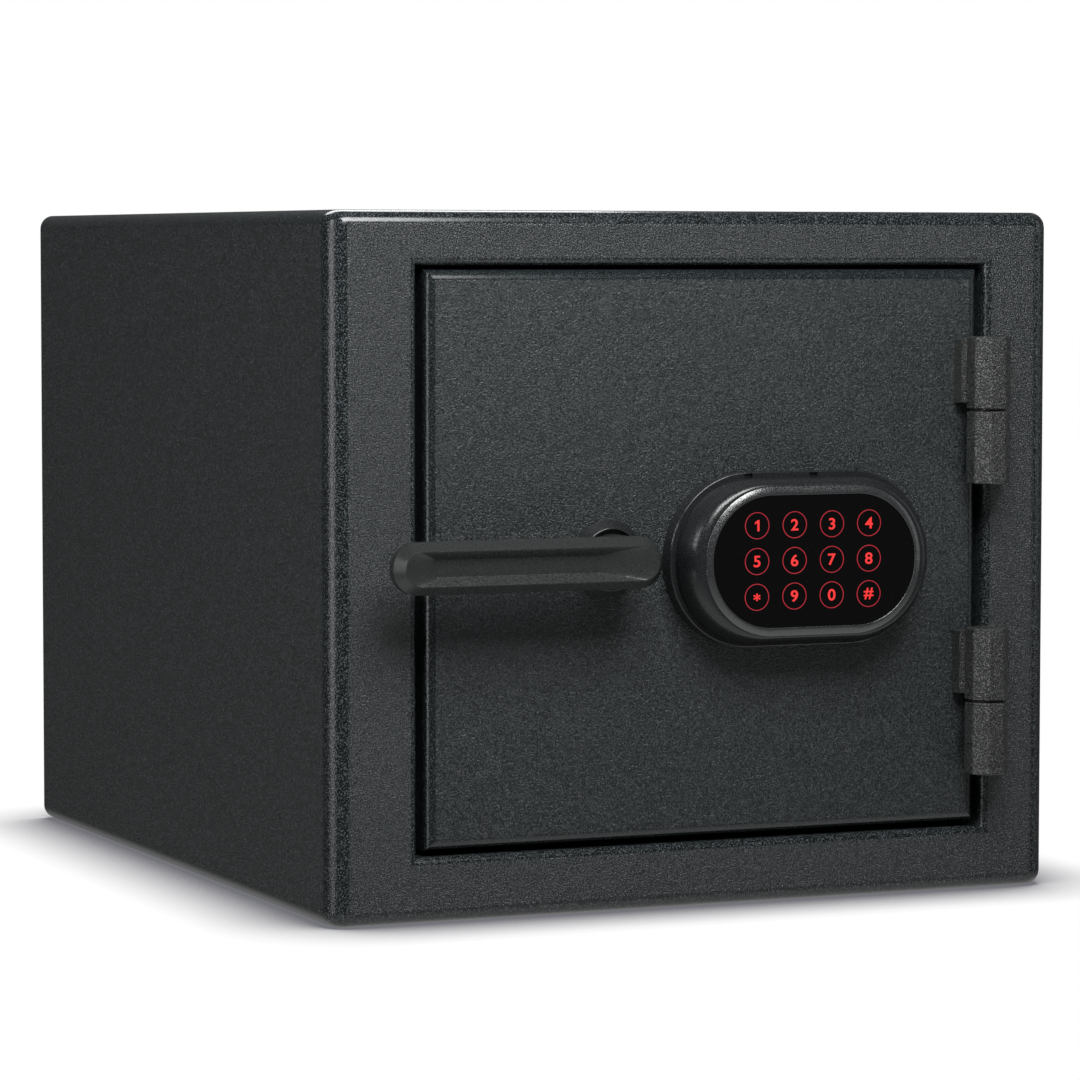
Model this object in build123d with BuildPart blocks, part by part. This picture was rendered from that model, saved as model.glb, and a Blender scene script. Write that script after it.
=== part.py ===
from build123d import *
import math
import os

os.makedirs("parts", exist_ok=True)

# A small fire-resistant safe with a keypad lock, a lever handle and lift-off hinges.
# X runs to the right as seen from the front, Y from the front to the back, Z up.
# The origin is the middle of the cabinet's footprint, on the floor. Sizes are in millimetres.
# A depth is a distance behind the front face; what stands proud of the front has a negative depth.

# ---- Cabinet ----
BODY_WIDTH = 394.0
BODY_DEPTH = 462.0
BODY_HEIGHT = 345.0
FRONT_CORNER_R = 11.0
LOOP_EDGE_R = 7.5
CASING_T = 2.0
BACK_PANEL_T = 2.0
BACK_RECESS = 1.0

# ---- Doorway: the front frame's widths around the opening ----
FRAME_LEFT = 45.5
FRAME_RIGHT = 38.3
FRAME_BOTTOM = 32.5
FRAME_TOP = 26.7
REVEAL_ROLL_R = 4.2
REVEAL_DEPTH = 36.0
LEDGE_WIDTH = 12.0
JAMB_T = 2.0
JAMB_DEPTH = 70.0
LINER_T = 1.2
REAR_WALL = 50.0

# ---- Door ----
DOOR_SIDE_GAP = 4.1
DOOR_TOP_GAP = 1.9
DOOR_BOTTOM_GAP = 3.0
DOOR_EDGE_R = 5.5
PAN_FRONT_T = 3.0
PAN_WALL_T = 2.0
PAN_DEPTH = 30.0
LOCK_PLATE_T = 2.0
LOCK_PLATE_INSET = 0.5
HARD_PLATE_SPAN = 80.0
HARD_PLATE_T = 4.0
SEAL_INSET = 1.0
SEAL_CORNER_R = 2.0
SEAL_WIDTH = 6.0
SEAL_GAP = 0.5
COVER_T = 1.5
COVER_GAP = 1.0
COVER_MARGIN = 9.0
COVER_FLANGE = 8.0
COVER_CORNER_R = 8.0
COVER_EDGE_R = 1.2
COVER_SCREW_R = 2.0
COVER_SCREW_HEAD_R = 3.5
SCREW_HEAD_T = 2.4

# ---- Hinges ----
HINGE_PITCH = 147.3
HINGE_MID_Z = 171.8
HINGE_AXIS_INSET = 4.2
HINGE_STANDOFF = 1.1
KNUCKLE_FLATS = 20.6
KNUCKLE_EDGE_R = 1.8
KNUCKLE_HEIGHT = 36.5
KNUCKLE_GAP = 1.2
HINGE_PIN_R = 5.0
PIN_RUNNING_GAP = 0.05
PIN_REACH = 30.0
KNUCKLE_CHAMFER = 0.6
WASHER_R = 8.5
WASHER_GAP = 0.3
LUG_REACH = 3.2
LUG_DEPTH = 7.5
LUG_HEIGHT = 31.5
LUG_DROP = 1.8

# ---- Handle ----
PIVOT_X = -51.6
PIVOT_Z = 174.9
LEVER_LENGTH = 140.5
LEVER_HEIGHT = 25.4
HUB_OVERHANG = 3.3
LEVER_BACK_STANDOFF = 25.0
LEVER_EDGE_T = 5.0
LEVER_BEVEL_DEPTH = 6.0
LEVER_BEVEL = 4.1
LEVER_RIM = 0.5
RECESS_DEPTH = 4.0
RECESS_FLOOR = 8.2
RECESS_TIP_RUN = 17.5
RECESS_HUB_RUN = 30.0
NECK_R = 12.5
NECK_GAP = 0.5
ROSETTE_R = 19.3
ROSETTE_RIM_R = 15.4
ROSETTE_BORE_R = 14.6
ROSETTE_HEIGHT = 6.0
ROSETTE_FLOOR = 1.5
SPINDLE_R = 5.0
SPINDLE_SQUARE = 8.0
SPINDLE_GRIP = 18.0
BUSH_WALL = 2.0
GRUB_R = 2.5
GRUB_SINK = 1.0

# ---- Bolt work ----
HANDLE_TURN = 60.0
CRANK_R = 20.0
DRIVE_PIN_R = 4.0
SLOT_GAP = 0.5
CAM_T = 3.0
CAM_DEPTH = 34.0
CAM_HUB_R = 13.0
CLIP_GAP = 0.4
CLIP_T = 0.9
BAR_DEPTH = 38.5
BAR_T = 4.0
BAR_WIDTH = 24.0
BOLT_R = 8.0
BOLT_LENGTH = 58.0
BOLT_DEPTH = 48.0
BOLT_PITCH = 75.0
BOLT_COUNT = 3
BOLT_TIP_PROUD = 2.5
BOLT_RUNNING_GAP = 0.08
BOLT_SCREW_R = 3.0
BOLT_CHAMFER = 1.5
ARM_HEIGHT = 40.0
ARM_TOP_ABOVE_PIVOT = 4.5
ARM_RIGHT = 28.0
GUIDE_POST_R = 4.0
GUIDE_POST_X = -15.0
GUIDE_POST_DROP = 8.5
GUIDE_T = 3.0
GUIDE_OFFSET = 2.0
GUIDE_FOOT = 12.0
BAR_END = 14.0
DEAD_BOLT_R = 6.0
DEAD_BOLT_REACH = 6.0
DEAD_BOLT_SWAY = 2.0
DEAD_BRACKET_WIDTH = 20.0
STRIKE_T = 4.0
STRIKE_HOLE_GAP = 1.5
STRIKE_MARGIN = 10.0
POCKET_DEPTH = 18.0
POCKET_T = 1.0

# ---- Solenoid ----
SOLENOID_X = -4.0
PLUNGER_R = 3.0
PLUNGER_TRAVEL = 6.0
PLUNGER_GAP = 0.6
COLLAR_R = 4.5
COLLAR_T = 1.0
COLLAR_DROP = 8.0
SPRING_LENGTH = 10.0
SPRING_R = 3.9
SPRING_WIRE_R = 0.35
SPRING_TURNS = 5
COIL_WIDTH = 20.0
COIL_HEIGHT = 26.0
COIL_DEPTH = 14.0
PLUNGER_SEAT = 18.0
BRACKET_MARGIN = 4.0
SMALL_SCREW_R = 1.5

# ---- Keypad ----
KEYPAD_X = 49.5
KEYPAD_Z = 173.0
BASE_WIDTH = 142.5
BASE_HEIGHT = 87.0
BASE_DEPTH = 9.0
BASE_FLOOR = 2.5
HOUSING_WIDTH = 136.5
HOUSING_HEIGHT = 81.0
HOUSING_ROOF_T = 4.0
PARTING_GAP = 0.6
BEZEL_WIDTH = 118.5
BEZEL_HEIGHT = 74.0
BEZEL_DEPTH = 24.5
BEZEL_RISE = 1.5
PANEL_WIDTH = 111.0
PANEL_HEIGHT = 65.0
PANEL_CORNER_R = 32.0
PANEL_FACE = 25.3
PANEL_T = 3.0
PANEL_FIT_GAP = 0.15
END_FLAT = 0.4
BASE_EDGE_R = 0.8
DOME_STEPS = 4
GASKET_INSET = 1.0
LEDGE_LIP = 2.0
BEZEL_FOOT = 0.3
BEZEL_SLOPE = 2.8
KEYPAD_SCREW_R = 2.0
PCB_WIDTH = 104.0
PCB_HEIGHT = 56.0
PCB_T = 1.6
PCB_CONNECTOR_T = 2.0
CELL_R = 7.1
CELL_LENGTH = 49.5
CELL_NUB = 1.0
CELL_COUNT = 4
CELL_PITCH = 15.0
TRAY_WALL = 1.2
TRAY_GAP = 0.6
CABLE_R = 1.75
CABLE_SHIFT = 42.0
CABLE_GAP = 0.25
CONDUIT_WALL = 1.0
CONNECTOR_HALF = 4.0
BOARD_SPAN = 46.0
STANDOFF_R = 2.0
KEYPAD_SCREW_SPAN = (80.0, 40.0)
NOTCH_OFFSETS = (-28.6, 7.4)
NOTCH_WIDTH = 4.5
NOTCH_DEPTH = 1.6

# ---- Inside the cabinet ----
SHELF_Z = 175.0
SHELF_T = 1.2
SHELF_SETBACK = 61.0
SHELF_LIP = 12.0
SHELF_SIDE_GAP = 1.0
BRACKET_SETBACK = 50.0
BRACKET_LEG = 12.0
ANCHOR_HOLE_R = 6.0
ANCHOR_SLEEVE_T = 2.0
ANCHOR_SPACING = 160.0
ANCHOR_DEPTH = 240.0

# ---- Places worked out from the sizes above ----
FRONT = -BODY_DEPTH / 2
OPEN_X = (-BODY_WIDTH / 2 + FRAME_LEFT, BODY_WIDTH / 2 - FRAME_RIGHT)
OPEN_Z = (FRAME_BOTTOM, BODY_HEIGHT - FRAME_TOP)
INNER_X = (OPEN_X[0] + LEDGE_WIDTH, OPEN_X[1] - LEDGE_WIDTH)
INNER_Z = (OPEN_Z[0] + LEDGE_WIDTH, OPEN_Z[1] - LEDGE_WIDTH)
LINER_BACK = BODY_DEPTH - REAR_WALL
DOOR_X = (OPEN_X[0] + DOOR_SIDE_GAP, OPEN_X[1] - DOOR_SIDE_GAP)
DOOR_Z = (OPEN_Z[0] + DOOR_BOTTOM_GAP, OPEN_Z[1] - DOOR_TOP_GAP)
PLATE_BACK = PAN_DEPTH + LOCK_PLATE_T
PLUG_DEPTH = BOLT_DEPTH + BOLT_R + 2 * COVER_T + COVER_GAP
COVER_X = (INNER_X[0] + COVER_MARGIN, INNER_X[1] - COVER_MARGIN)
COVER_Z = (INNER_Z[0] + COVER_MARGIN, INNER_Z[1] - COVER_MARGIN)
HINGE_X = OPEN_X[1] - HINGE_AXIS_INSET
HINGE_Y = FRONT - KNUCKLE_FLATS / 2 - HINGE_STANDOFF
HINGE_SPLITS = [HINGE_MID_Z - HINGE_PITCH / 2, HINGE_MID_Z + HINGE_PITCH / 2]
THROW = 2 * CRANK_R * math.sin(math.radians(HANDLE_TURN / 2))
BOLT_ZS = [PIVOT_Z + BOLT_PITCH * (i - (BOLT_COUNT - 1) / 2) for i in range(BOLT_COUNT)]
BOLT_TIP_X = COVER_X[0] - BOLT_TIP_PROUD
BOLT_TAIL_X = BOLT_TIP_X + BOLT_LENGTH
BAR_X = (BOLT_TAIL_X - BAR_WIDTH, BOLT_TAIL_X)
ARM_Z = (PIVOT_Z + ARM_TOP_ABOVE_PIVOT - ARM_HEIGHT, PIVOT_Z + ARM_TOP_ABOVE_PIVOT)
CRANK_START = math.radians(HANDLE_TURN / 2)
DRIVE_PIN_X = PIVOT_X + CRANK_R * math.sin(CRANK_START)
DRIVE_PIN_Z = PIVOT_Z - CRANK_R * math.cos(CRANK_START)
CABLE_X = KEYPAD_X + CABLE_SHIFT
CONDUIT_R = CABLE_R + CABLE_GAP + CONDUIT_WALL
BUSH_R = SPINDLE_R + PIN_RUNNING_GAP + BUSH_WALL
PLUNGER_TIP_Z = ARM_Z[0] - PLUNGER_GAP
SPRING_TOP_Z = PLUNGER_TIP_Z - COLLAR_DROP
COIL_TOP_Z = SPRING_TOP_Z - SPRING_LENGTH
BAR_MID_DEPTH = BAR_DEPTH + BAR_T / 2


def middle(span):
    """Return the middle of a pair of limits."""
    return (span[0] + span[1]) / 2


def length(span):
    """Return the distance between a pair of limits."""
    return span[1] - span[0]


def grown(span, margin):
    """Return a pair of limits moved outwards by a margin."""
    return (span[0] - margin, span[1] + margin)


def facing(depth):
    """Return the upright plane at a depth behind the front face, looking out of the front."""
    return Plane(origin=(0, FRONT + depth, 0), x_dir=(1, 0, 0), z_dir=(0, -1, 0))


def across(x):
    """Return the upright plane at an X place, looking to the right, with Y and Z as its axes."""
    return Plane(origin=(x, 0, 0), x_dir=(0, 1, 0), z_dir=(1, 0, 0))


def slab(x, z, depth, corner=0.0, mode=Mode.ADD):
    """Add a plate between pairs of X, Z and depth limits, its corners rounded in front view."""
    with BuildSketch(facing(depth[1])) as outline:
        with Locations((middle(x), middle(z))):
            if corner > 0:
                RectangleRounded(length(x), length(z), corner)
            else:
                Rectangle(length(x), length(z))
    extrude(outline.sketch, amount=length(depth), mode=mode)


def rod(x, z, radius, depth, mode=Mode.ADD):
    """Add a round bar that runs from front to back between two depths."""
    with BuildSketch(facing(depth[1])) as outline:
        with Locations((x, z)):
            Circle(radius)
    extrude(outline.sketch, amount=length(depth), mode=mode)


def cross_rod(x, depth, z, radius, mode=Mode.ADD):
    """Add a round bar that runs from left to right between two X limits."""
    with BuildSketch(across(x[0])) as outline:
        with Locations((FRONT + depth, z)):
            Circle(radius)
    extrude(outline.sketch, amount=length(x), mode=mode)


def post(x, y, radius, z, mode=Mode.ADD):
    """Add an upright round bar between two Z limits."""
    with BuildSketch(Plane.XY.offset(z[0])) as outline:
        with Locations((x, y)):
            Circle(radius)
    extrude(outline.sketch, amount=length(z), mode=mode)


def slot(x, z, radius, depth, mode=Mode.SUBTRACT):
    """Cut a slot with round ends, lying level, whose end centres are the two X values."""
    with BuildSketch(facing(depth[1])) as outline:
        with Locations((middle(x), z)):
            SlotCenterToCenter(length(x), 2 * radius)
    extrude(outline.sketch, amount=length(depth), mode=mode)


def finish(name, builder):
    """Label a finished piece and write its STEP file."""
    builder.part.label = name
    export_step(builder.part, f"parts/{name}.step")


# =====================================================================================
# Cabinet
# =====================================================================================

# The space inside the casing's walls, which the casing, insulation and back panel share.
with BuildPart() as casing_core:
    with BuildSketch(Plane.XY.offset(CASING_T)):
        with Locations((0, CASING_T)):
            Rectangle(BODY_WIDTH - 2 * CASING_T, BODY_DEPTH)
    extrude(amount=BODY_HEIGHT - 2 * CASING_T)
    fillet(casing_core.edges().filter_by(Axis.Z).group_by(Axis.Y)[0], FRONT_CORNER_R - CASING_T)
    core_rims = casing_core.faces().filter_by(Plane.XY).edges()
    fillet([e for e in core_rims if e.center().Y < BODY_DEPTH / 2], LOOP_EDGE_R - CASING_T)

# The casing is one welded sheet shell: four walls, the front frame and the rolled reveal.
with BuildPart() as outer_casing:
    with BuildSketch(Plane.XY):
        Rectangle(BODY_WIDTH, BODY_DEPTH)
    extrude(amount=BODY_HEIGHT)
    fillet(outer_casing.edges().filter_by(Axis.Z).group_by(Axis.Y)[0], FRONT_CORNER_R)
    rims = outer_casing.faces().filter_by(Plane.XY).edges()
    fillet([e for e in rims if e.center().Y < BODY_DEPTH / 2 - 1], LOOP_EDGE_R)
    add(casing_core.part, mode=Mode.SUBTRACT)
    slab(grown(OPEN_X, CASING_T), grown(OPEN_Z, CASING_T), (0, REVEAL_DEPTH))
    slab(OPEN_X, OPEN_Z, (-1, REVEAL_DEPTH + 1), mode=Mode.SUBTRACT)
    front_edges = outer_casing.edges().filter_by_position(Axis.Y, FRONT - 0.1, FRONT + 0.1)
    mouth = front_edges.filter_by_position(Axis.X, *grown(OPEN_X, 1)).filter_by_position(
        Axis.Z, *grown(OPEN_Z, 1))
    fillet(mouth, REVEAL_ROLL_R)
    for side in (-1, 1):
        post(side * ANCHOR_SPACING / 2, FRONT + ANCHOR_DEPTH, ANCHOR_HOLE_R + ANCHOR_SLEEVE_T,
             (-1, CASING_T + 1), mode=Mode.SUBTRACT)
finish("outer_casing", outer_casing)

# The back panel lies inside the casing's rear rim.
BACK_FACE = BODY_DEPTH - BACK_RECESS
with BuildPart() as back_panel:
    add(casing_core.part)
    slab((-BODY_WIDTH, BODY_WIDTH), (0, BODY_HEIGHT), (BACK_FACE - BACK_PANEL_T, BACK_FACE),
         mode=Mode.INTERSECT)
finish("back_panel", back_panel)

# The jamb is an angle frame: a ledge that stops the door, and a sleeve that leads to the liner.
DEAD_BOLT_ZS = (BOLT_ZS[0], BOLT_ZS[-1])
with BuildPart() as door_jamb:
    slab(grown(OPEN_X, CASING_T), grown(OPEN_Z, CASING_T), (REVEAL_DEPTH, REVEAL_DEPTH + JAMB_T))
    slab(grown(INNER_X, JAMB_T), grown(INNER_Z, JAMB_T), (REVEAL_DEPTH, JAMB_DEPTH))
    slab(INNER_X, INNER_Z, (REVEAL_DEPTH - 1, JAMB_DEPTH + 1), mode=Mode.SUBTRACT)
    for z in BOLT_ZS:
        cross_rod((INNER_X[0] - JAMB_T - 1, INNER_X[0] + 1), BOLT_DEPTH, z,
                  BOLT_R + STRIKE_HOLE_GAP, mode=Mode.SUBTRACT)
    for z in DEAD_BOLT_ZS:
        with BuildSketch(across(INNER_X[1] - 1)) as swing_slot:
            with Locations((FRONT + BOLT_DEPTH - DEAD_BOLT_SWAY / 2, z)):
                SlotOverall(2 * DEAD_BOLT_R + DEAD_BOLT_SWAY + STRIKE_HOLE_GAP,
                            2 * DEAD_BOLT_R + STRIKE_HOLE_GAP)
        extrude(swing_slot.sketch, amount=JAMB_T + 2, mode=Mode.SUBTRACT)
finish("door_jamb", door_jamb)

# The strike plate doubles the sleeve where the locking bolts pass.
STRIKE_X = (INNER_X[0] - JAMB_T - STRIKE_T, INNER_X[0] - JAMB_T)
STRIKE_Z = (BOLT_ZS[0] - BOLT_R - STRIKE_MARGIN, BOLT_ZS[-1] + BOLT_R + STRIKE_MARGIN)
STRIKE_DEPTHS = (REVEAL_DEPTH + JAMB_T, BOLT_DEPTH + BOLT_R + STRIKE_MARGIN / 3)
POCKET_X = (STRIKE_X[0] - POCKET_DEPTH, STRIKE_X[0])
with BuildPart() as strike_plate:
    slab(STRIKE_X, STRIKE_Z, STRIKE_DEPTHS)
    for z in BOLT_ZS:
        cross_rod((STRIKE_X[0] - 1, STRIKE_X[1] + 1), BOLT_DEPTH, z, BOLT_R + STRIKE_HOLE_GAP,
                  mode=Mode.SUBTRACT)
finish("strike_plate", strike_plate)

# A folded pocket behind the strike plate keeps the bolts' way clear of the insulation.
with BuildPart() as bolt_pocket:
    slab(POCKET_X, STRIKE_Z, STRIKE_DEPTHS)
    slab((POCKET_X[0] + POCKET_T, POCKET_X[1] + 1), grown(STRIKE_Z, -POCKET_T),
         grown(STRIKE_DEPTHS, -POCKET_T), mode=Mode.SUBTRACT)
finish("bolt_pocket", bolt_pocket)

with BuildPart() as inner_liner:
    slab(grown(INNER_X, LINER_T), grown(INNER_Z, LINER_T), (JAMB_DEPTH, LINER_BACK + LINER_T))
    slab(INNER_X, INNER_Z, (JAMB_DEPTH - 1, LINER_BACK), mode=Mode.SUBTRACT)
    for side in (-1, 1):
        post(side * ANCHOR_SPACING / 2, FRONT + ANCHOR_DEPTH, ANCHOR_HOLE_R + ANCHOR_SLEEVE_T,
             (INNER_Z[0] - LINER_T - 1, INNER_Z[0] + 1), mode=Mode.SUBTRACT)
finish("inner_liner", inner_liner)

with BuildPart() as anchor_sleeves:
    for side in (-1, 1):
        post(side * ANCHOR_SPACING / 2, FRONT + ANCHOR_DEPTH, ANCHOR_HOLE_R + ANCHOR_SLEEVE_T,
             (0, INNER_Z[0]))
    for side in (-1, 1):
        post(side * ANCHOR_SPACING / 2, FRONT + ANCHOR_DEPTH, ANCHOR_HOLE_R, (-1, INNER_Z[0] + 1),
             mode=Mode.SUBTRACT)
finish("anchor_sleeves", anchor_sleeves)

# The poured insulation fills what is left between the casing and the liner.
with BuildPart() as body_insulation:
    add(casing_core.part)
    slab((-BODY_WIDTH, BODY_WIDTH), (0, BODY_HEIGHT), (0, BACK_FACE - BACK_PANEL_T), mode=Mode.INTERSECT)
    slab(grown(OPEN_X, CASING_T), grown(OPEN_Z, CASING_T), (0, REVEAL_DEPTH + JAMB_T), mode=Mode.SUBTRACT)
    slab(grown(INNER_X, JAMB_T), grown(INNER_Z, JAMB_T), (REVEAL_DEPTH, JAMB_DEPTH), mode=Mode.SUBTRACT)
    slab(grown(INNER_X, LINER_T), grown(INNER_Z, LINER_T), (JAMB_DEPTH, LINER_BACK + LINER_T),
         mode=Mode.SUBTRACT)
    slab((POCKET_X[0], STRIKE_X[1]), STRIKE_Z, STRIKE_DEPTHS, mode=Mode.SUBTRACT)
    for z in DEAD_BOLT_ZS:
        cross_rod((INNER_X[1], INNER_X[1] + DEAD_BOLT_REACH + STRIKE_MARGIN), BOLT_DEPTH, z,
                  DEAD_BOLT_R + DEAD_BOLT_SWAY + STRIKE_HOLE_GAP, mode=Mode.SUBTRACT)
    for side in (-1, 1):
        post(side * ANCHOR_SPACING / 2, FRONT + ANCHOR_DEPTH, ANCHOR_HOLE_R + ANCHOR_SLEEVE_T,
             (0, INNER_Z[0]), mode=Mode.SUBTRACT)
finish("body_insulation", body_insulation)

SHELF_BACK = LINER_BACK - SHELF_SIDE_GAP
SHELF_FRONT = PLUG_DEPTH + SHELF_SETBACK
with BuildPart() as shelf:
    slab(grown(INNER_X, -SHELF_SIDE_GAP), (SHELF_Z, SHELF_Z + SHELF_T), (SHELF_FRONT, SHELF_BACK))
    slab(grown(INNER_X, -SHELF_SIDE_GAP), (SHELF_Z - SHELF_LIP, SHELF_Z),
         (SHELF_FRONT, SHELF_FRONT + SHELF_T))
finish("shelf", shelf)

with BuildPart() as shelf_brackets:
    for wall, inward in ((INNER_X[0], 1), (INNER_X[1], -1)):
        leg = sorted((wall, wall + inward * BRACKET_LEG))
        web = sorted((wall, wall + inward * SHELF_T))
        run = (SHELF_FRONT + BRACKET_SETBACK, SHELF_BACK)
        slab(leg, (SHELF_Z - SHELF_T, SHELF_Z), run)
        slab(web, (SHELF_Z - BRACKET_LEG, SHELF_Z), run)
finish("shelf_brackets", shelf_brackets)


# =====================================================================================
# Hinges: the lower halves are welded to the frame, the upper halves to the door
# =====================================================================================

def barrel(z):
    """Add an eight-sided hinge barrel between two Z limits."""
    with BuildSketch(Plane.XY.offset(z[0])) as outline:
        with Locations((HINGE_X, HINGE_Y)):
            RegularPolygon(KNUCKLE_FLATS / 2, 8, major_radius=False, rotation=360 / 16)
        fillet(outline.vertices(), KNUCKLE_EDGE_R)
    extrude(outline.sketch, amount=length(z))


def lug(low, outward):
    """Add the welding lug beside a barrel, from a lower Z limit, to the left or the right."""
    root = HINGE_X + outward * KNUCKLE_FLATS / 5
    tip = HINGE_X + outward * (KNUCKLE_FLATS / 2 + LUG_REACH)
    slab(sorted((root, tip)), (low, low + LUG_HEIGHT), (-LUG_DEPTH, 0))


with BuildPart() as frame_knuckles:
    for split in HINGE_SPLITS:
        barrel((split - KNUCKLE_GAP / 2 - KNUCKLE_HEIGHT, split - KNUCKLE_GAP / 2))
    chamfer(frame_knuckles.faces().filter_by(Plane.XY).edges(), KNUCKLE_CHAMFER)
    for split in HINGE_SPLITS:
        lug(split - KNUCKLE_GAP / 2 - KNUCKLE_HEIGHT + LUG_DROP, 1)
    for split in HINGE_SPLITS:
        post(HINGE_X, HINGE_Y, HINGE_PIN_R, (split - PIN_REACH, split), mode=Mode.SUBTRACT)
finish("frame_knuckles", frame_knuckles)

with BuildPart() as door_knuckles:
    for split in HINGE_SPLITS:
        barrel((split + KNUCKLE_GAP / 2, split + KNUCKLE_GAP / 2 + KNUCKLE_HEIGHT))
    chamfer(door_knuckles.faces().filter_by(Plane.XY).edges(), KNUCKLE_CHAMFER)
    for split in HINGE_SPLITS:
        lug(split + KNUCKLE_GAP / 2 + KNUCKLE_HEIGHT - LUG_DROP - LUG_HEIGHT, -1)
    for split in HINGE_SPLITS:
        post(HINGE_X, HINGE_Y, HINGE_PIN_R + PIN_RUNNING_GAP, (split, split + PIN_REACH + 1),
             mode=Mode.SUBTRACT)
finish("door_knuckles", door_knuckles)

with BuildPart() as hinge_pins:
    for split in HINGE_SPLITS:
        post(HINGE_X, HINGE_Y, HINGE_PIN_R, (split - PIN_REACH, split + PIN_REACH))
    chamfer(hinge_pins.edges().filter_by(GeomType.CIRCLE), KNUCKLE_CHAMFER)
finish("hinge_pins", hinge_pins)

with BuildPart() as hinge_washers:
    for split in HINGE_SPLITS:
        post(HINGE_X, HINGE_Y, WASHER_R,
             (split - KNUCKLE_GAP / 2, split + KNUCKLE_GAP / 2 - WASHER_GAP))
    for split in HINGE_SPLITS:
        post(HINGE_X, HINGE_Y, HINGE_PIN_R, (split - KNUCKLE_GAP, split + KNUCKLE_GAP), mode=Mode.SUBTRACT)
finish("hinge_washers", hinge_washers)


# =====================================================================================
# Door leaf
# =====================================================================================

with BuildPart() as door_panel:
    slab(DOOR_X, DOOR_Z, (0, PAN_DEPTH))
    fillet(door_panel.faces().sort_by(Axis.Y)[0].edges(), DOOR_EDGE_R)
    slab(grown(DOOR_X, -PAN_WALL_T), grown(DOOR_Z, -PAN_WALL_T), (PAN_FRONT_T, PAN_DEPTH + 1),
         mode=Mode.SUBTRACT)
    rod(PIVOT_X, PIVOT_Z, BUSH_R, (-1, PAN_FRONT_T + 1), mode=Mode.SUBTRACT)
    rod(CABLE_X, KEYPAD_Z, CONDUIT_R, (-1, PAN_FRONT_T + 1), mode=Mode.SUBTRACT)
    with BuildSketch(facing(PAN_FRONT_T + 1)) as screw_holes:
        with Locations((KEYPAD_X, KEYPAD_Z)):
            with GridLocations(*KEYPAD_SCREW_SPAN, 2, 2):
                Circle(KEYPAD_SCREW_R)
    extrude(screw_holes.sketch, amount=PAN_FRONT_T + 2, mode=Mode.SUBTRACT)
finish("door_panel", door_panel)

HARD_X = (PIVOT_X - HARD_PLATE_SPAN / 2, PIVOT_X + HARD_PLATE_SPAN / 2)
HARD_Z = (PIVOT_Z - HARD_PLATE_SPAN / 2, PIVOT_Z + HARD_PLATE_SPAN / 2)
HARD_DEPTHS = (PAN_FRONT_T, PAN_FRONT_T + HARD_PLATE_T)
with BuildPart() as hard_plate:
    slab(HARD_X, HARD_Z, HARD_DEPTHS, HARD_PLATE_T)
    rod(PIVOT_X, PIVOT_Z, BUSH_R, HARD_DEPTHS, mode=Mode.SUBTRACT)
finish("hard_plate", hard_plate)

with BuildPart() as door_insulation:
    slab(grown(DOOR_X, -PAN_WALL_T), grown(DOOR_Z, -PAN_WALL_T), (PAN_FRONT_T, PAN_DEPTH))
    slab(HARD_X, HARD_Z, HARD_DEPTHS, HARD_PLATE_T, mode=Mode.SUBTRACT)
    rod(PIVOT_X, PIVOT_Z, BUSH_R, (PAN_FRONT_T, PAN_DEPTH), mode=Mode.SUBTRACT)
    rod(CABLE_X, KEYPAD_Z, CONDUIT_R, (PAN_FRONT_T, PAN_DEPTH), mode=Mode.SUBTRACT)
finish("door_insulation", door_insulation)

COVER_SCREW_X = grown(COVER_X, COVER_FLANGE / 2)
COVER_SCREW_Z = grown(COVER_Z, COVER_FLANGE / 2)
COVER_SCREW_ROWS = (COVER_SCREW_Z[0], middle(COVER_SCREW_Z), COVER_SCREW_Z[1])
COVER_SCREWS = [(x, z) for x in COVER_SCREW_X for z in COVER_SCREW_ROWS]
COVER_SCREWS += [(middle(COVER_SCREW_X), z) for z in COVER_SCREW_Z]
with BuildPart() as lock_plate:
    slab(grown(DOOR_X, -LOCK_PLATE_INSET), grown(DOOR_Z, -LOCK_PLATE_INSET), (PAN_DEPTH, PLATE_BACK))
    rod(PIVOT_X, PIVOT_Z, BUSH_R, (PAN_DEPTH, PLATE_BACK), mode=Mode.SUBTRACT)
    rod(CABLE_X, KEYPAD_Z, CONDUIT_R, (PAN_DEPTH, PLATE_BACK), mode=Mode.SUBTRACT)
    for x, z in COVER_SCREWS:
        rod(x, z, COVER_SCREW_R, (PAN_DEPTH, PLATE_BACK), mode=Mode.SUBTRACT)
finish("lock_plate", lock_plate)

SEAL_DEPTHS = (PLATE_BACK, REVEAL_DEPTH - SEAL_GAP)
SEAL_BORE = SEAL_INSET + SEAL_WIDTH
with BuildPart() as door_seal:
    slab(grown(DOOR_X, -SEAL_INSET), grown(DOOR_Z, -SEAL_INSET), SEAL_DEPTHS, SEAL_CORNER_R)
    slab(grown(DOOR_X, -SEAL_BORE), grown(DOOR_Z, -SEAL_BORE), SEAL_DEPTHS, mode=Mode.SUBTRACT)
finish("door_seal", door_seal)

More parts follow.
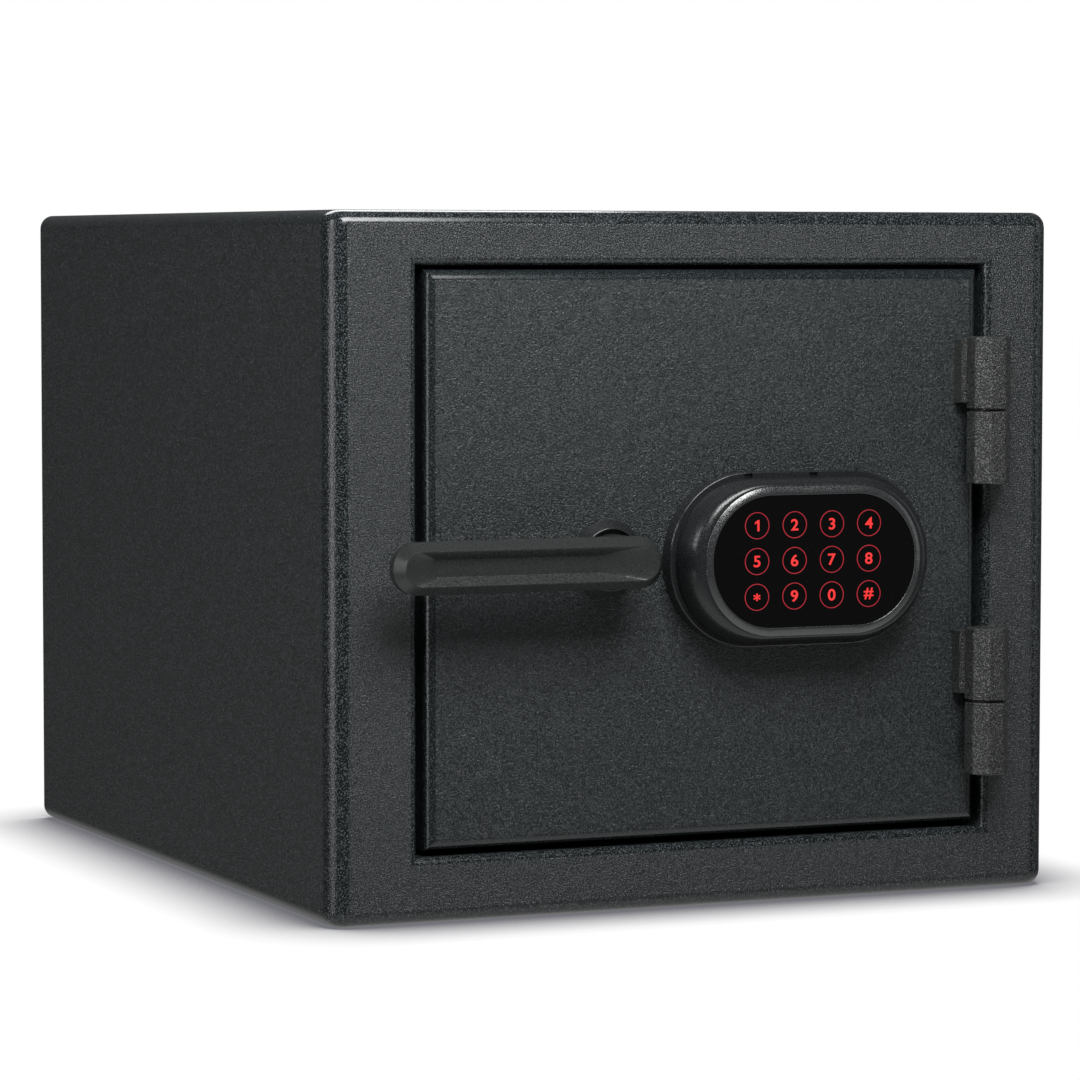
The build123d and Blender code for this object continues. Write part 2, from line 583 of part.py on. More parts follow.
# The inner cover is a pressed tray over the bolt work, screwed to the lock plate by its flange.
with BuildPart() as door_inner_cover:
    slab(COVER_X, COVER_Z, (PLATE_BACK, PLUG_DEPTH), COVER_CORNER_R)
    fillet(door_inner_cover.faces().sort_by(Axis.Y)[-1].edges(), COVER_EDGE_R)
    slab(grown(COVER_X, COVER_FLANGE), grown(COVER_Z, COVER_FLANGE), (PLATE_BACK, PLATE_BACK + COVER_T),
         COVER_CORNER_R)
    slab(grown(COVER_X, -COVER_T), grown(COVER_Z, -COVER_T), (PLATE_BACK, PLUG_DEPTH - COVER_T),
         COVER_CORNER_R - COVER_T, mode=Mode.SUBTRACT)
    for x, z in COVER_SCREWS:
        rod(x, z, COVER_SCREW_R, (PLATE_BACK, PLATE_BACK + COVER_T), mode=Mode.SUBTRACT)
    for z in BOLT_ZS:
        cross_rod((COVER_X[0] - 1, COVER_X[0] + COVER_T + 1), BOLT_DEPTH, z, BOLT_R + STRIKE_HOLE_GAP / 2,
                  mode=Mode.SUBTRACT)
    for z in DEAD_BOLT_ZS:
        cross_rod((COVER_X[1] - COVER_T - 1, COVER_X[1] + 1), BOLT_DEPTH, z, DEAD_BOLT_R, mode=Mode.SUBTRACT)
finish("door_inner_cover", door_inner_cover)

with BuildPart() as cover_screws:
    for x, z in COVER_SCREWS:
        rod(x, z, COVER_SCREW_R, (PAN_DEPTH, PLATE_BACK + COVER_T))
        rod(x, z, COVER_SCREW_HEAD_R, (PLATE_BACK + COVER_T, PLATE_BACK + COVER_T + SCREW_HEAD_T))
finish("cover_screws", cover_screws)

with BuildPart() as spindle_bush:
    rod(PIVOT_X, PIVOT_Z, BUSH_R, (0, PLATE_BACK))
    rod(PIVOT_X, PIVOT_Z, SPINDLE_R + PIN_RUNNING_GAP, (-1, PLATE_BACK + 1), mode=Mode.SUBTRACT)
finish("spindle_bush", spindle_bush)

with BuildPart() as cable_conduit:
    rod(CABLE_X, KEYPAD_Z, CONDUIT_R, (0, PLATE_BACK))
    rod(CABLE_X, KEYPAD_Z, CABLE_R + CABLE_GAP, (-1, PLATE_BACK + 1), mode=Mode.SUBTRACT)
finish("cable_conduit", cable_conduit)

# The dead bolts stand fixed on the hinge side and swing into slots in the jamb.
DEAD_BOLT_TAIL_X = COVER_X[1] - COVER_T - DEAD_BRACKET_WIDTH
with BuildPart() as dead_bolts:
    for z in DEAD_BOLT_ZS:
        cross_rod((DEAD_BOLT_TAIL_X, INNER_X[1] + DEAD_BOLT_REACH), BOLT_DEPTH, z, DEAD_BOLT_R)
    chamfer(dead_bolts.faces().sort_by(Axis.X)[-2:].edges(), KNUCKLE_CHAMFER)
finish("dead_bolts", dead_bolts)

with BuildPart() as dead_bolt_brackets:
    for z in DEAD_BOLT_ZS:
        slab((DEAD_BOLT_TAIL_X, COVER_X[1] - COVER_T), grown((z, z), DEAD_BRACKET_WIDTH / 2),
             (PLATE_BACK, BOLT_DEPTH + DEAD_BOLT_R + COVER_T))
    for z in DEAD_BOLT_ZS:
        cross_rod((DEAD_BOLT_TAIL_X, COVER_X[1]), BOLT_DEPTH, z, DEAD_BOLT_R, mode=Mode.SUBTRACT)
finish("dead_bolt_brackets", dead_bolt_brackets)

# The guide is an angle on the lock plate whose upright leg carries the locking bolts.
GUIDE_X = (COVER_X[0] + COVER_T + GUIDE_OFFSET, COVER_X[0] + COVER_T + GUIDE_OFFSET + GUIDE_T)
with BuildPart() as bolt_guide:
    slab(GUIDE_X, STRIKE_Z, (PLATE_BACK, BOLT_DEPTH + BOLT_R + COVER_T))
    slab((GUIDE_X[0], GUIDE_X[1] + GUIDE_FOOT), STRIKE_Z, (PLATE_BACK, PLATE_BACK + LOCK_PLATE_T))
    for z in BOLT_ZS:
        cross_rod((GUIDE_X[0] - 1, GUIDE_X[1] + 1), BOLT_DEPTH, z, BOLT_R + BOLT_RUNNING_GAP,
                  mode=Mode.SUBTRACT)
finish("bolt_guide", bolt_guide)

GUIDE_SLOT_Z = PIVOT_Z - GUIDE_POST_DROP
with BuildPart() as guide_post:
    rod(GUIDE_POST_X, GUIDE_SLOT_Z, GUIDE_POST_R, (PLATE_BACK, BAR_DEPTH + BAR_T + PLUNGER_GAP))
    rod(GUIDE_POST_X, GUIDE_SLOT_Z, GUIDE_POST_R + GUIDE_T,
        (BAR_DEPTH + BAR_T + PLUNGER_GAP, BAR_DEPTH + BAR_T + PLUNGER_GAP + GUIDE_T))
finish("guide_post", guide_post)

with BuildPart() as handle_rosette:
    with BuildSketch(Plane.XY.offset(PIVOT_Z)):
        with BuildLine():
            Polyline(
                (PIVOT_X + BUSH_R, FRONT),
                (PIVOT_X + ROSETTE_R, FRONT),
                (PIVOT_X + ROSETTE_RIM_R, FRONT - ROSETTE_HEIGHT),
                (PIVOT_X + ROSETTE_BORE_R, FRONT - ROSETTE_HEIGHT),
                (PIVOT_X + ROSETTE_BORE_R, FRONT - ROSETTE_FLOOR),
                (PIVOT_X + BUSH_R, FRONT - ROSETTE_FLOOR),
                close=True,
            )
        make_face()
    revolve(axis=Axis((PIVOT_X, 0, PIVOT_Z), (0, 1, 0)))
finish("handle_rosette", handle_rosette)


# =====================================================================================
# Handle: everything that turns with the lever
# =====================================================================================

def bar_outline(depth, half_height, tip_x, hub_x):
    """Draw a level outline with round ends, its end centres at the two X values, at a depth."""
    with BuildSketch(facing(depth)) as outline:
        with BuildLine():
            Line((tip_x, PIVOT_Z + half_height), (hub_x, PIVOT_Z + half_height))
            ThreePointArc((hub_x, PIVOT_Z + half_height), (hub_x + half_height, PIVOT_Z),
                          (hub_x, PIVOT_Z - half_height))
            Line((hub_x, PIVOT_Z - half_height), (tip_x, PIVOT_Z - half_height))
            ThreePointArc((tip_x, PIVOT_Z - half_height), (tip_x - half_height, PIVOT_Z),
                          (tip_x, PIVOT_Z + half_height))
        make_face()
    return outline.sketch


def floor_outline(depth, half_height, tip_x, hub_x):
    """Draw the square-ended floor of the lever's recess at a depth."""
    with BuildSketch(facing(depth)) as outline:
        with BuildLine():
            Line((tip_x, PIVOT_Z + half_height), (hub_x, PIVOT_Z + half_height))
            Line((hub_x, PIVOT_Z + half_height), (hub_x, PIVOT_Z - half_height))
            Line((hub_x, PIVOT_Z - half_height), (tip_x, PIVOT_Z - half_height))
            Line((tip_x, PIVOT_Z - half_height), (tip_x, PIVOT_Z + half_height))
        make_face()
    return outline.sketch


LEVER_HUB_X = PIVOT_X + HUB_OVERHANG
LEVER_TIP_X = LEVER_HUB_X - LEVER_LENGTH + LEVER_HEIGHT
LEVER_WAIST = -LEVER_BACK_STANDOFF - LEVER_EDGE_T
LEVER_FACE = LEVER_WAIST - LEVER_BEVEL_DEPTH
LEVER_FLOOR = LEVER_FACE + RECESS_DEPTH
RIM_HALF = LEVER_HEIGHT / 2 - LEVER_BEVEL
NECK_FOOT = -ROSETTE_FLOOR - NECK_GAP
GRUB_DEPTH = NECK_FOOT - SPINDLE_GRIP / 2
SOCKET_HALF = SPINDLE_SQUARE / 2 + PIN_RUNNING_GAP

with BuildPart() as lever:
    extrude(bar_outline(-LEVER_BACK_STANDOFF, LEVER_HEIGHT / 2, LEVER_TIP_X, LEVER_HUB_X),
            amount=LEVER_EDGE_T)
    loft([bar_outline(LEVER_WAIST, LEVER_HEIGHT / 2, LEVER_TIP_X, LEVER_HUB_X),
          bar_outline(LEVER_FACE, RIM_HALF, LEVER_TIP_X, LEVER_HUB_X)], ruled=True)
    loft([floor_outline(LEVER_FLOOR, RECESS_FLOOR / 2, LEVER_TIP_X - RIM_HALF + RECESS_TIP_RUN,
                        LEVER_HUB_X + RIM_HALF - RECESS_HUB_RUN),
          bar_outline(LEVER_FACE, RIM_HALF - LEVER_RIM, LEVER_TIP_X, LEVER_HUB_X)],
         ruled=True, mode=Mode.SUBTRACT)
    rod(PIVOT_X, PIVOT_Z, NECK_R, (-LEVER_BACK_STANDOFF, NECK_FOOT))
    slab((PIVOT_X - SOCKET_HALF, PIVOT_X + SOCKET_HALF), (PIVOT_Z - SOCKET_HALF, PIVOT_Z + SOCKET_HALF),
         (NECK_FOOT - SPINDLE_GRIP, NECK_FOOT), mode=Mode.SUBTRACT)
    post(PIVOT_X, FRONT + GRUB_DEPTH, GRUB_R, (PIVOT_Z - NECK_R - 1, PIVOT_Z - SPINDLE_SQUARE / 2),
         mode=Mode.SUBTRACT)
finish("lever", lever)

with BuildPart() as grub_screw:
    post(PIVOT_X, FRONT + GRUB_DEPTH, GRUB_R, (PIVOT_Z - NECK_R + GRUB_SINK, PIVOT_Z - SPINDLE_SQUARE / 2))
finish("grub_screw", grub_screw)

CAM_DEPTHS = (CAM_DEPTH, CAM_DEPTH + CAM_T)
with BuildPart() as spindle:
    slab(grown((PIVOT_X, PIVOT_X), SPINDLE_SQUARE / 2), grown((PIVOT_Z, PIVOT_Z), SPINDLE_SQUARE / 2),
         (NECK_FOOT - SPINDLE_GRIP, CAM_DEPTHS[1]))
    rod(PIVOT_X, PIVOT_Z, SPINDLE_R, (NECK_FOOT, CAM_DEPTHS[0]))
    rod(PIVOT_X, PIVOT_Z, SPINDLE_R, (NECK_FOOT - SPINDLE_GRIP, CAM_DEPTHS[1]), mode=Mode.INTERSECT)
finish("spindle", spindle)

with BuildPart() as retaining_clip:
    rod(PIVOT_X, PIVOT_Z, SPINDLE_R + GUIDE_T, (PLATE_BACK + CLIP_GAP, PLATE_BACK + CLIP_GAP + CLIP_T))
    rod(PIVOT_X, PIVOT_Z, SPINDLE_R, (PLATE_BACK, CAM_DEPTHS[0]), mode=Mode.SUBTRACT)
finish("retaining_clip", retaining_clip)

with BuildPart() as drive_cam:
    with BuildSketch(facing(CAM_DEPTHS[1])):
        with Locations((PIVOT_X, PIVOT_Z)):
            Circle(CAM_HUB_R)
        with Locations((DRIVE_PIN_X, DRIVE_PIN_Z)):
            Circle(DRIVE_PIN_R + CAM_T)
        make_hull()
    extrude(amount=CAM_T)
    slab((PIVOT_X - SOCKET_HALF, PIVOT_X + SOCKET_HALF), (PIVOT_Z - SOCKET_HALF, PIVOT_Z + SOCKET_HALF),
         CAM_DEPTHS, mode=Mode.SUBTRACT)
    rod(DRIVE_PIN_X, DRIVE_PIN_Z, DRIVE_PIN_R - 1, CAM_DEPTHS, mode=Mode.SUBTRACT)
finish("drive_cam", drive_cam)

with BuildPart() as drive_pin:
    rod(DRIVE_PIN_X, DRIVE_PIN_Z, DRIVE_PIN_R - 1, CAM_DEPTHS)
    rod(DRIVE_PIN_X, DRIVE_PIN_Z, DRIVE_PIN_R, (CAM_DEPTHS[1], BAR_DEPTH + BAR_T + 1))
finish("drive_pin", drive_pin)


# =====================================================================================
# Bolt carriage: everything that slides to lock the door
# =====================================================================================

with BuildPart() as bolt_bar:
    slab(BAR_X, (BOLT_ZS[0] - BAR_END, BOLT_ZS[-1] + BAR_END), (BAR_DEPTH, BAR_DEPTH + BAR_T), BAR_T)
    slab((middle(BAR_X), ARM_RIGHT), ARM_Z, (BAR_DEPTH, BAR_DEPTH + BAR_T), BAR_T)
    with BuildSketch(facing(BAR_DEPTH + BAR_T)) as drive_slot:
        with Locations((DRIVE_PIN_X, middle((PIVOT_Z - CRANK_R, DRIVE_PIN_Z)))):
            SlotCenterToCenter(DRIVE_PIN_Z - PIVOT_Z + CRANK_R + SLOT_GAP, 2 * (DRIVE_PIN_R + SLOT_GAP),
                               rotation=90)
    extrude(drive_slot.sketch, amount=BAR_T, mode=Mode.SUBTRACT)
    slot((GUIDE_POST_X, GUIDE_POST_X + THROW), GUIDE_SLOT_Z, GUIDE_POST_R + SLOT_GAP,
         (BAR_DEPTH, BAR_DEPTH + BAR_T))
    for shift in (0, THROW):
        notch = grown((SOLENOID_X + shift, SOLENOID_X + shift), PLUNGER_R + PLUNGER_GAP)
        slab(notch, (ARM_Z[0] - 1, PLUNGER_TIP_Z + PLUNGER_TRAVEL + 1), (BAR_DEPTH, BAR_DEPTH + BAR_T),
             mode=Mode.SUBTRACT)
    for z in BOLT_ZS:
        rod(middle(BAR_X), z, BOLT_SCREW_R, (BAR_DEPTH, BAR_DEPTH + BAR_T), mode=Mode.SUBTRACT)
finish("bolt_bar", bolt_bar)

with BuildPart() as locking_bolts:
    for z in BOLT_ZS:
        cross_rod((BOLT_TIP_X, BOLT_TAIL_X), BOLT_DEPTH, z, BOLT_R)
    chamfer(locking_bolts.edges().filter_by(GeomType.CIRCLE).group_by(Axis.X)[0], BOLT_CHAMFER)
    slab((BAR_X[0], BAR_X[1] + 1), STRIKE_Z, (PLATE_BACK, BAR_DEPTH + BAR_T), mode=Mode.SUBTRACT)
    for z in BOLT_ZS:
        rod(middle(BAR_X), z, BOLT_SCREW_R, (BAR_DEPTH, BOLT_DEPTH), mode=Mode.SUBTRACT)
finish("locking_bolts", locking_bolts)

with BuildPart() as bolt_screws:
    for z in BOLT_ZS:
        rod(middle(BAR_X), z, BOLT_SCREW_R, (BAR_DEPTH, BOLT_DEPTH))
        rod(middle(BAR_X), z, BOLT_SCREW_R + SCREW_HEAD_T, (BAR_DEPTH - SCREW_HEAD_T, BAR_DEPTH))
finish("bolt_screws", bolt_screws)


# =====================================================================================
# Solenoid lock
# =====================================================================================

COIL_X = grown((SOLENOID_X, SOLENOID_X), COIL_WIDTH / 2)
COIL_Z = (COIL_TOP_Z - COIL_HEIGHT, COIL_TOP_Z)
COIL_DEPTHS = (BAR_MID_DEPTH - COIL_DEPTH / 2, BAR_MID_DEPTH + COIL_DEPTH / 2)
PLUNGER_Y = FRONT + BAR_MID_DEPTH
TAB_BOTTOM = COIL_Z[0] - COIL_HEIGHT / 4
TAB_SCREW_Z = middle((TAB_BOTTOM, COIL_Z[0]))
with BuildPart() as solenoid_coil:
    slab(COIL_X, COIL_Z, COIL_DEPTHS, KNUCKLE_CHAMFER)
    post(SOLENOID_X, PLUNGER_Y, PLUNGER_R + PIN_RUNNING_GAP, (COIL_Z[0] + BRACKET_MARGIN, COIL_Z[1]),
         mode=Mode.SUBTRACT)
finish("solenoid_coil", solenoid_coil)

with BuildPart() as solenoid_bracket:
    slab(COIL_X, (TAB_BOTTOM, COIL_Z[1]), (PLATE_BACK, COIL_DEPTHS[0]))
    rod(SOLENOID_X, TAB_SCREW_Z, SMALL_SCREW_R, (PLATE_BACK, COIL_DEPTHS[0]), mode=Mode.SUBTRACT)
finish("solenoid_bracket", solenoid_bracket)

with BuildPart() as solenoid_screw:
    rod(SOLENOID_X, TAB_SCREW_Z, SMALL_SCREW_R, (PLATE_BACK, COIL_DEPTHS[0]))
    rod(SOLENOID_X, TAB_SCREW_Z, SMALL_SCREW_R + 1, (COIL_DEPTHS[0], COIL_DEPTHS[0] + SCREW_HEAD_T))
finish("solenoid_screw", solenoid_screw)

with BuildPart() as solenoid_plunger:
    post(SOLENOID_X, PLUNGER_Y, PLUNGER_R, (COIL_Z[1] - PLUNGER_SEAT, PLUNGER_TIP_Z))
    post(SOLENOID_X, PLUNGER_Y, COLLAR_R, (SPRING_TOP_Z, SPRING_TOP_Z + COLLAR_T))
finish("solenoid_plunger", solenoid_plunger)

SPRING_PITCH = (SPRING_LENGTH - 2 * SPRING_WIRE_R) / SPRING_TURNS
with BuildPart() as plunger_spring:
    with BuildLine(Plane((SOLENOID_X, PLUNGER_Y, COIL_TOP_Z + SPRING_WIRE_R))) as coil_line:
        Helix(SPRING_PITCH, SPRING_LENGTH - 2 * SPRING_WIRE_R, SPRING_R)
    with BuildSketch(Plane(origin=coil_line.line @ 0, z_dir=coil_line.line % 0)) as wire:
        Circle(SPRING_WIRE_R)
    sweep(wire.sketch, path=coil_line.line)
finish("plunger_spring", plunger_spring)


# =====================================================================================
# Keypad and its electronics
# =====================================================================================

def keypad_slab(width, height, depth, corner, mode=Mode.ADD):
    """Add a rounded plate centred on the keypad."""
    slab(grown((KEYPAD_X, KEYPAD_X), width / 2), grown((KEYPAD_Z, KEYPAD_Z), height / 2), depth, corner, mode)


with BuildPart() as keypad_base:
    keypad_slab(BASE_WIDTH, BASE_HEIGHT, (-BASE_DEPTH, 0), BASE_HEIGHT / 2 - END_FLAT)
    fillet(keypad_base.faces().sort_by(Axis.Y)[0].edges(), BASE_EDGE_R)
    keypad_slab(BEZEL_WIDTH, BEZEL_HEIGHT, (-BASE_DEPTH - 1, -BASE_FLOOR), BEZEL_HEIGHT / 2 - END_FLAT,
                mode=Mode.SUBTRACT)
    for offset_x in NOTCH_OFFSETS:
        slab(grown((KEYPAD_X + offset_x, KEYPAD_X + offset_x), NOTCH_WIDTH / 2),
             (KEYPAD_Z + HOUSING_HEIGHT / 2 - NOTCH_DEPTH, KEYPAD_Z + BASE_HEIGHT / 2 - BASE_EDGE_R),
             (-BASE_DEPTH - 1, -BASE_DEPTH + NOTCH_DEPTH), mode=Mode.SUBTRACT)
    rod(CABLE_X, KEYPAD_Z, CABLE_R + CABLE_GAP, (-BASE_FLOOR - 1, 1), mode=Mode.SUBTRACT)
    with BuildSketch(facing(0)) as base_holes:
        with Locations((KEYPAD_X, KEYPAD_Z)):
            with GridLocations(*KEYPAD_SCREW_SPAN, 2, 2):
                Circle(KEYPAD_SCREW_R)
    extrude(base_holes.sketch, amount=BASE_FLOOR + 1, mode=Mode.SUBTRACT)
finish("keypad_base", keypad_base)

with BuildPart() as keypad_screws:
    with BuildSketch(facing(PAN_FRONT_T)) as shanks:
        with Locations((KEYPAD_X, KEYPAD_Z)):
            with GridLocations(*KEYPAD_SCREW_SPAN, 2, 2):
                Circle(KEYPAD_SCREW_R)
    extrude(shanks.sketch, amount=PAN_FRONT_T + BASE_FLOOR)
    with BuildSketch(facing(-BASE_FLOOR)) as heads:
        with Locations((KEYPAD_X, KEYPAD_Z)):
            with GridLocations(*KEYPAD_SCREW_SPAN, 2, 2):
                Circle(COVER_SCREW_HEAD_R)
    extrude(heads.sketch, amount=SCREW_HEAD_T)
finish("keypad_screws", keypad_screws)


def dome_section(angle):
    """Draw the housing's outline where its quarter-round shoulder has turned by an angle."""
    width = BEZEL_WIDTH + (HOUSING_WIDTH - BEZEL_WIDTH) * math.cos(angle)
    height = BEZEL_HEIGHT + (HOUSING_HEIGHT - BEZEL_HEIGHT) * math.cos(angle)
    depth = -BASE_DEPTH - PARTING_GAP - (BEZEL_DEPTH - BASE_DEPTH - PARTING_GAP) * math.sin(angle)
    with BuildSketch(facing(depth)) as outline:
        with Locations((KEYPAD_X, KEYPAD_Z)):
            RectangleRounded(width, height, height / 2 - END_FLAT)
    return outline.sketch


PANEL_BACK = -PANEL_FACE + PANEL_T
with BuildPart() as keypad_housing:
    loft([dome_section(math.pi / 2 * step / DOME_STEPS) for step in range(DOME_STEPS + 1)])
    keypad_slab(BEZEL_WIDTH, BEZEL_HEIGHT, (-BEZEL_DEPTH + HOUSING_ROOF_T, -BASE_DEPTH),
                BEZEL_HEIGHT / 2 - END_FLAT, mode=Mode.SUBTRACT)
    keypad_slab(PANEL_WIDTH - 2 * LEDGE_LIP, PANEL_HEIGHT - 2 * LEDGE_LIP, (-BEZEL_DEPTH, -BASE_DEPTH),
                PANEL_CORNER_R - LEDGE_LIP, mode=Mode.SUBTRACT)
    keypad_slab(PANEL_WIDTH + 2 * PANEL_FIT_GAP, PANEL_HEIGHT + 2 * PANEL_FIT_GAP, (-BEZEL_DEPTH, PANEL_BACK),
                PANEL_CORNER_R + PANEL_FIT_GAP, mode=Mode.SUBTRACT)
finish("keypad_housing", keypad_housing)

# A dark gasket fills the parting gap between the housing's foot and the base's rim.
with BuildPart() as keypad_gasket:
    keypad_slab(HOUSING_WIDTH - 2 * GASKET_INSET, HOUSING_HEIGHT - 2 * GASKET_INSET,
                (-BASE_DEPTH - PARTING_GAP, -BASE_DEPTH), HOUSING_HEIGHT / 2 - GASKET_INSET - END_FLAT)
    keypad_slab(BEZEL_WIDTH, BEZEL_HEIGHT, (-BASE_DEPTH - PARTING_GAP, -BASE_DEPTH),
                BEZEL_HEIGHT / 2 - END_FLAT, mode=Mode.SUBTRACT)
finish("keypad_gasket", keypad_gasket)

with BuildPart() as keypad_bezel:
    keypad_slab(BEZEL_WIDTH, BEZEL_HEIGHT, (-BEZEL_DEPTH - BEZEL_RISE, -BEZEL_DEPTH),
                BEZEL_HEIGHT / 2 - END_FLAT)
    chamfer(keypad_bezel.faces().sort_by(Axis.Y)[0].edges(), BEZEL_RISE - BEZEL_FOOT, BEZEL_SLOPE)
    keypad_slab(PANEL_WIDTH + 2 * PANEL_FIT_GAP, PANEL_HEIGHT + 2 * PANEL_FIT_GAP,
                (-BEZEL_DEPTH - BEZEL_RISE, -BEZEL_DEPTH), PANEL_CORNER_R + PANEL_FIT_GAP, mode=Mode.SUBTRACT)
finish("keypad_bezel", keypad_bezel)

with BuildPart() as touch_panel:
    keypad_slab(PANEL_WIDTH, PANEL_HEIGHT, (-PANEL_FACE, PANEL_BACK), PANEL_CORNER_R)
finish("touch_panel", touch_panel)

PCB_DEPTHS = (PANEL_BACK, PANEL_BACK + PCB_T)
with BuildPart() as keypad_board:
    keypad_slab(PCB_WIDTH, PCB_HEIGHT, PCB_DEPTHS, PCB_HEIGHT / 2 - END_FLAT)
    slab(grown((CABLE_X, CABLE_X), CONNECTOR_HALF), grown((KEYPAD_Z, KEYPAD_Z), CONNECTOR_HALF),
         (PCB_DEPTHS[1], PCB_DEPTHS[1] + PCB_CONNECTOR_T))
finish("keypad_board", keypad_board)

TRAY_WIDTH = CELL_COUNT * CELL_PITCH + 2 * (TRAY_WALL + TRAY_GAP)
TRAY_HEIGHT = CELL_LENGTH + CELL_NUB + 2 * (TRAY_WALL + TRAY_GAP)
CELL_DEPTH = -BASE_FLOOR - TRAY_WALL - CELL_R
with BuildPart() as battery_tray:
    keypad_slab(TRAY_WIDTH, TRAY_HEIGHT, (CELL_DEPTH, -BASE_FLOOR), 0)
    keypad_slab(TRAY_WIDTH - 2 * TRAY_WALL, TRAY_HEIGHT - 2 * TRAY_WALL,
                (CELL_DEPTH, -BASE_FLOOR - TRAY_WALL), 0, mode=Mode.SUBTRACT)
finish("battery_tray", battery_tray)

CELL_BOTTOM = KEYPAD_Z - (CELL_LENGTH + CELL_NUB) / 2
CELL_TOP = CELL_BOTTOM + CELL_LENGTH
with BuildPart() as battery_cells:
    for index in range(CELL_COUNT):
        cell_x = KEYPAD_X + (index - (CELL_COUNT - 1) / 2) * CELL_PITCH
        post(cell_x, FRONT + CELL_DEPTH, CELL_R, (CELL_BOTTOM, CELL_TOP))
        post(cell_x, FRONT + CELL_DEPTH, CELL_R / 3, (CELL_TOP, CELL_TOP + CELL_NUB))
finish("battery_cells", battery_cells)

BOARD_DEPTHS = (BAR_DEPTH, BAR_DEPTH + PCB_T)
BOARD_X = (CABLE_X - BOARD_SPAN / 2, CABLE_X + BOARD_SPAN / 2)
BOARD_Z = (KEYPAD_Z - BOARD_SPAN / 2, KEYPAD_Z + BOARD_SPAN / 2)
with BuildPart() as control_board:
    slab(BOARD_X, BOARD_Z, BOARD_DEPTHS, PCB_T)
    slab(grown((CABLE_X, CABLE_X), CONNECTOR_HALF), grown((KEYPAD_Z, KEYPAD_Z), CONNECTOR_HALF),
         (BOARD_DEPTHS[0] - PCB_CONNECTOR_T, BOARD_DEPTHS[0]))
finish("control_board", control_board)

with BuildPart() as board_standoffs:
    for x in grown(BOARD_X, -CONNECTOR_HALF):
        for z in grown(BOARD_Z, -CONNECTOR_HALF):
            rod(x, z, STANDOFF_R, (PLATE_BACK, BOARD_DEPTHS[0]))
finish("board_standoffs", board_standoffs)

with BuildPart() as keypad_cable:
    rod(CABLE_X, KEYPAD_Z, CABLE_R, (PCB_DEPTHS[1] + PCB_CONNECTOR_T, BOARD_DEPTHS[0] - PCB_CONNECTOR_T))
finish("keypad_cable", keypad_cable)
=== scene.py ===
"""A small fire-resistant safe with a touch keypad and a lever handle, dressed in its real finishes.

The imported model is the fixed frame. Each sub-assembly is a class that dresses the frame's own pieces, adds
the pieces that only the eye needs, and rides them on the right body. Everything is in metres.
"""

import logging
import math
from dataclasses import dataclass, field
from enum import Enum
from typing import ClassVar, Sequence

import bmesh
import bpy
from mathutils import Matrix, Vector


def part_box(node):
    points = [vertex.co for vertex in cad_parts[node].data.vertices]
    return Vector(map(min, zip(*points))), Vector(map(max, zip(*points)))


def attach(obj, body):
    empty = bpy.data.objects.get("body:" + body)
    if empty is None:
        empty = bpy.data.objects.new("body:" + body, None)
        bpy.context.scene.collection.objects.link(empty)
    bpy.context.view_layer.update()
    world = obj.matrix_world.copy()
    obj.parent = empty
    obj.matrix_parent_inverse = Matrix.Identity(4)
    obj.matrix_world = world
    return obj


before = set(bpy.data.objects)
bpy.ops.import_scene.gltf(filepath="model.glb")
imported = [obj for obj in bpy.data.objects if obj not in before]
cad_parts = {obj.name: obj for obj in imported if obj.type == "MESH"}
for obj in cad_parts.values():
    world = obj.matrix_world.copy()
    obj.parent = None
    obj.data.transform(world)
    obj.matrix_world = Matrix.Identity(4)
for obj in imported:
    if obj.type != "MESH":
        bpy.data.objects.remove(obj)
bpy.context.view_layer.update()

log = logging.getLogger("safe")

MM = 0.001


class Grain(Enum):
    """Which way a surface was worked: the stretch that its fine lines get along X, Y and Z."""

    ROUND = (1.0, 1.0, 1.0)
    LEVEL = (0.04, 1.0, 1.0)
    UPRIGHT = (1.0, 1.0, 0.04)


def linear(hex_colour: str) -> tuple[float, float, float, float]:
    """Turn an sRGB hex colour into linear light.

    Args:
        hex_colour: Six hex digits after a hash sign.

    Returns:
        Red, green, blue and an alpha of one.
    """
    parts = [int(hex_colour[i:i + 2], 16) / 255 for i in (1, 3, 5)]
    red, green, blue = (p / 12.92 if p <= 0.04045 else ((p + 0.055) / 1.055) ** 2.4 for p in parts)
    return red, green, blue, 1.0


def add_node(
    tree: bpy.types.NodeTree,
    kind: str,
    settings: dict[str | int, object] | None = None,
    links: dict[str | int, bpy.types.NodeSocket] | None = None,
) -> bpy.types.Node:
    """Add a node with its settings and links.

    Args:
        tree: The node tree to add to.
        kind: Blender's name for the node type.
        settings: Values for the node's properties, or for its input sockets by name or place.
        links: Output sockets to join to the node's inputs, by name or place.

    Returns:
        The new node.
    """
    made = tree.nodes.new(kind)
    for key, value in (settings or {}).items():
        if isinstance(key, str) and hasattr(made, key):
            setattr(made, key, value)
        else:
            made.inputs[key].default_value = value
    for key, source in (links or {}).items():
        tree.links.new(source, made.inputs[key])
    return made


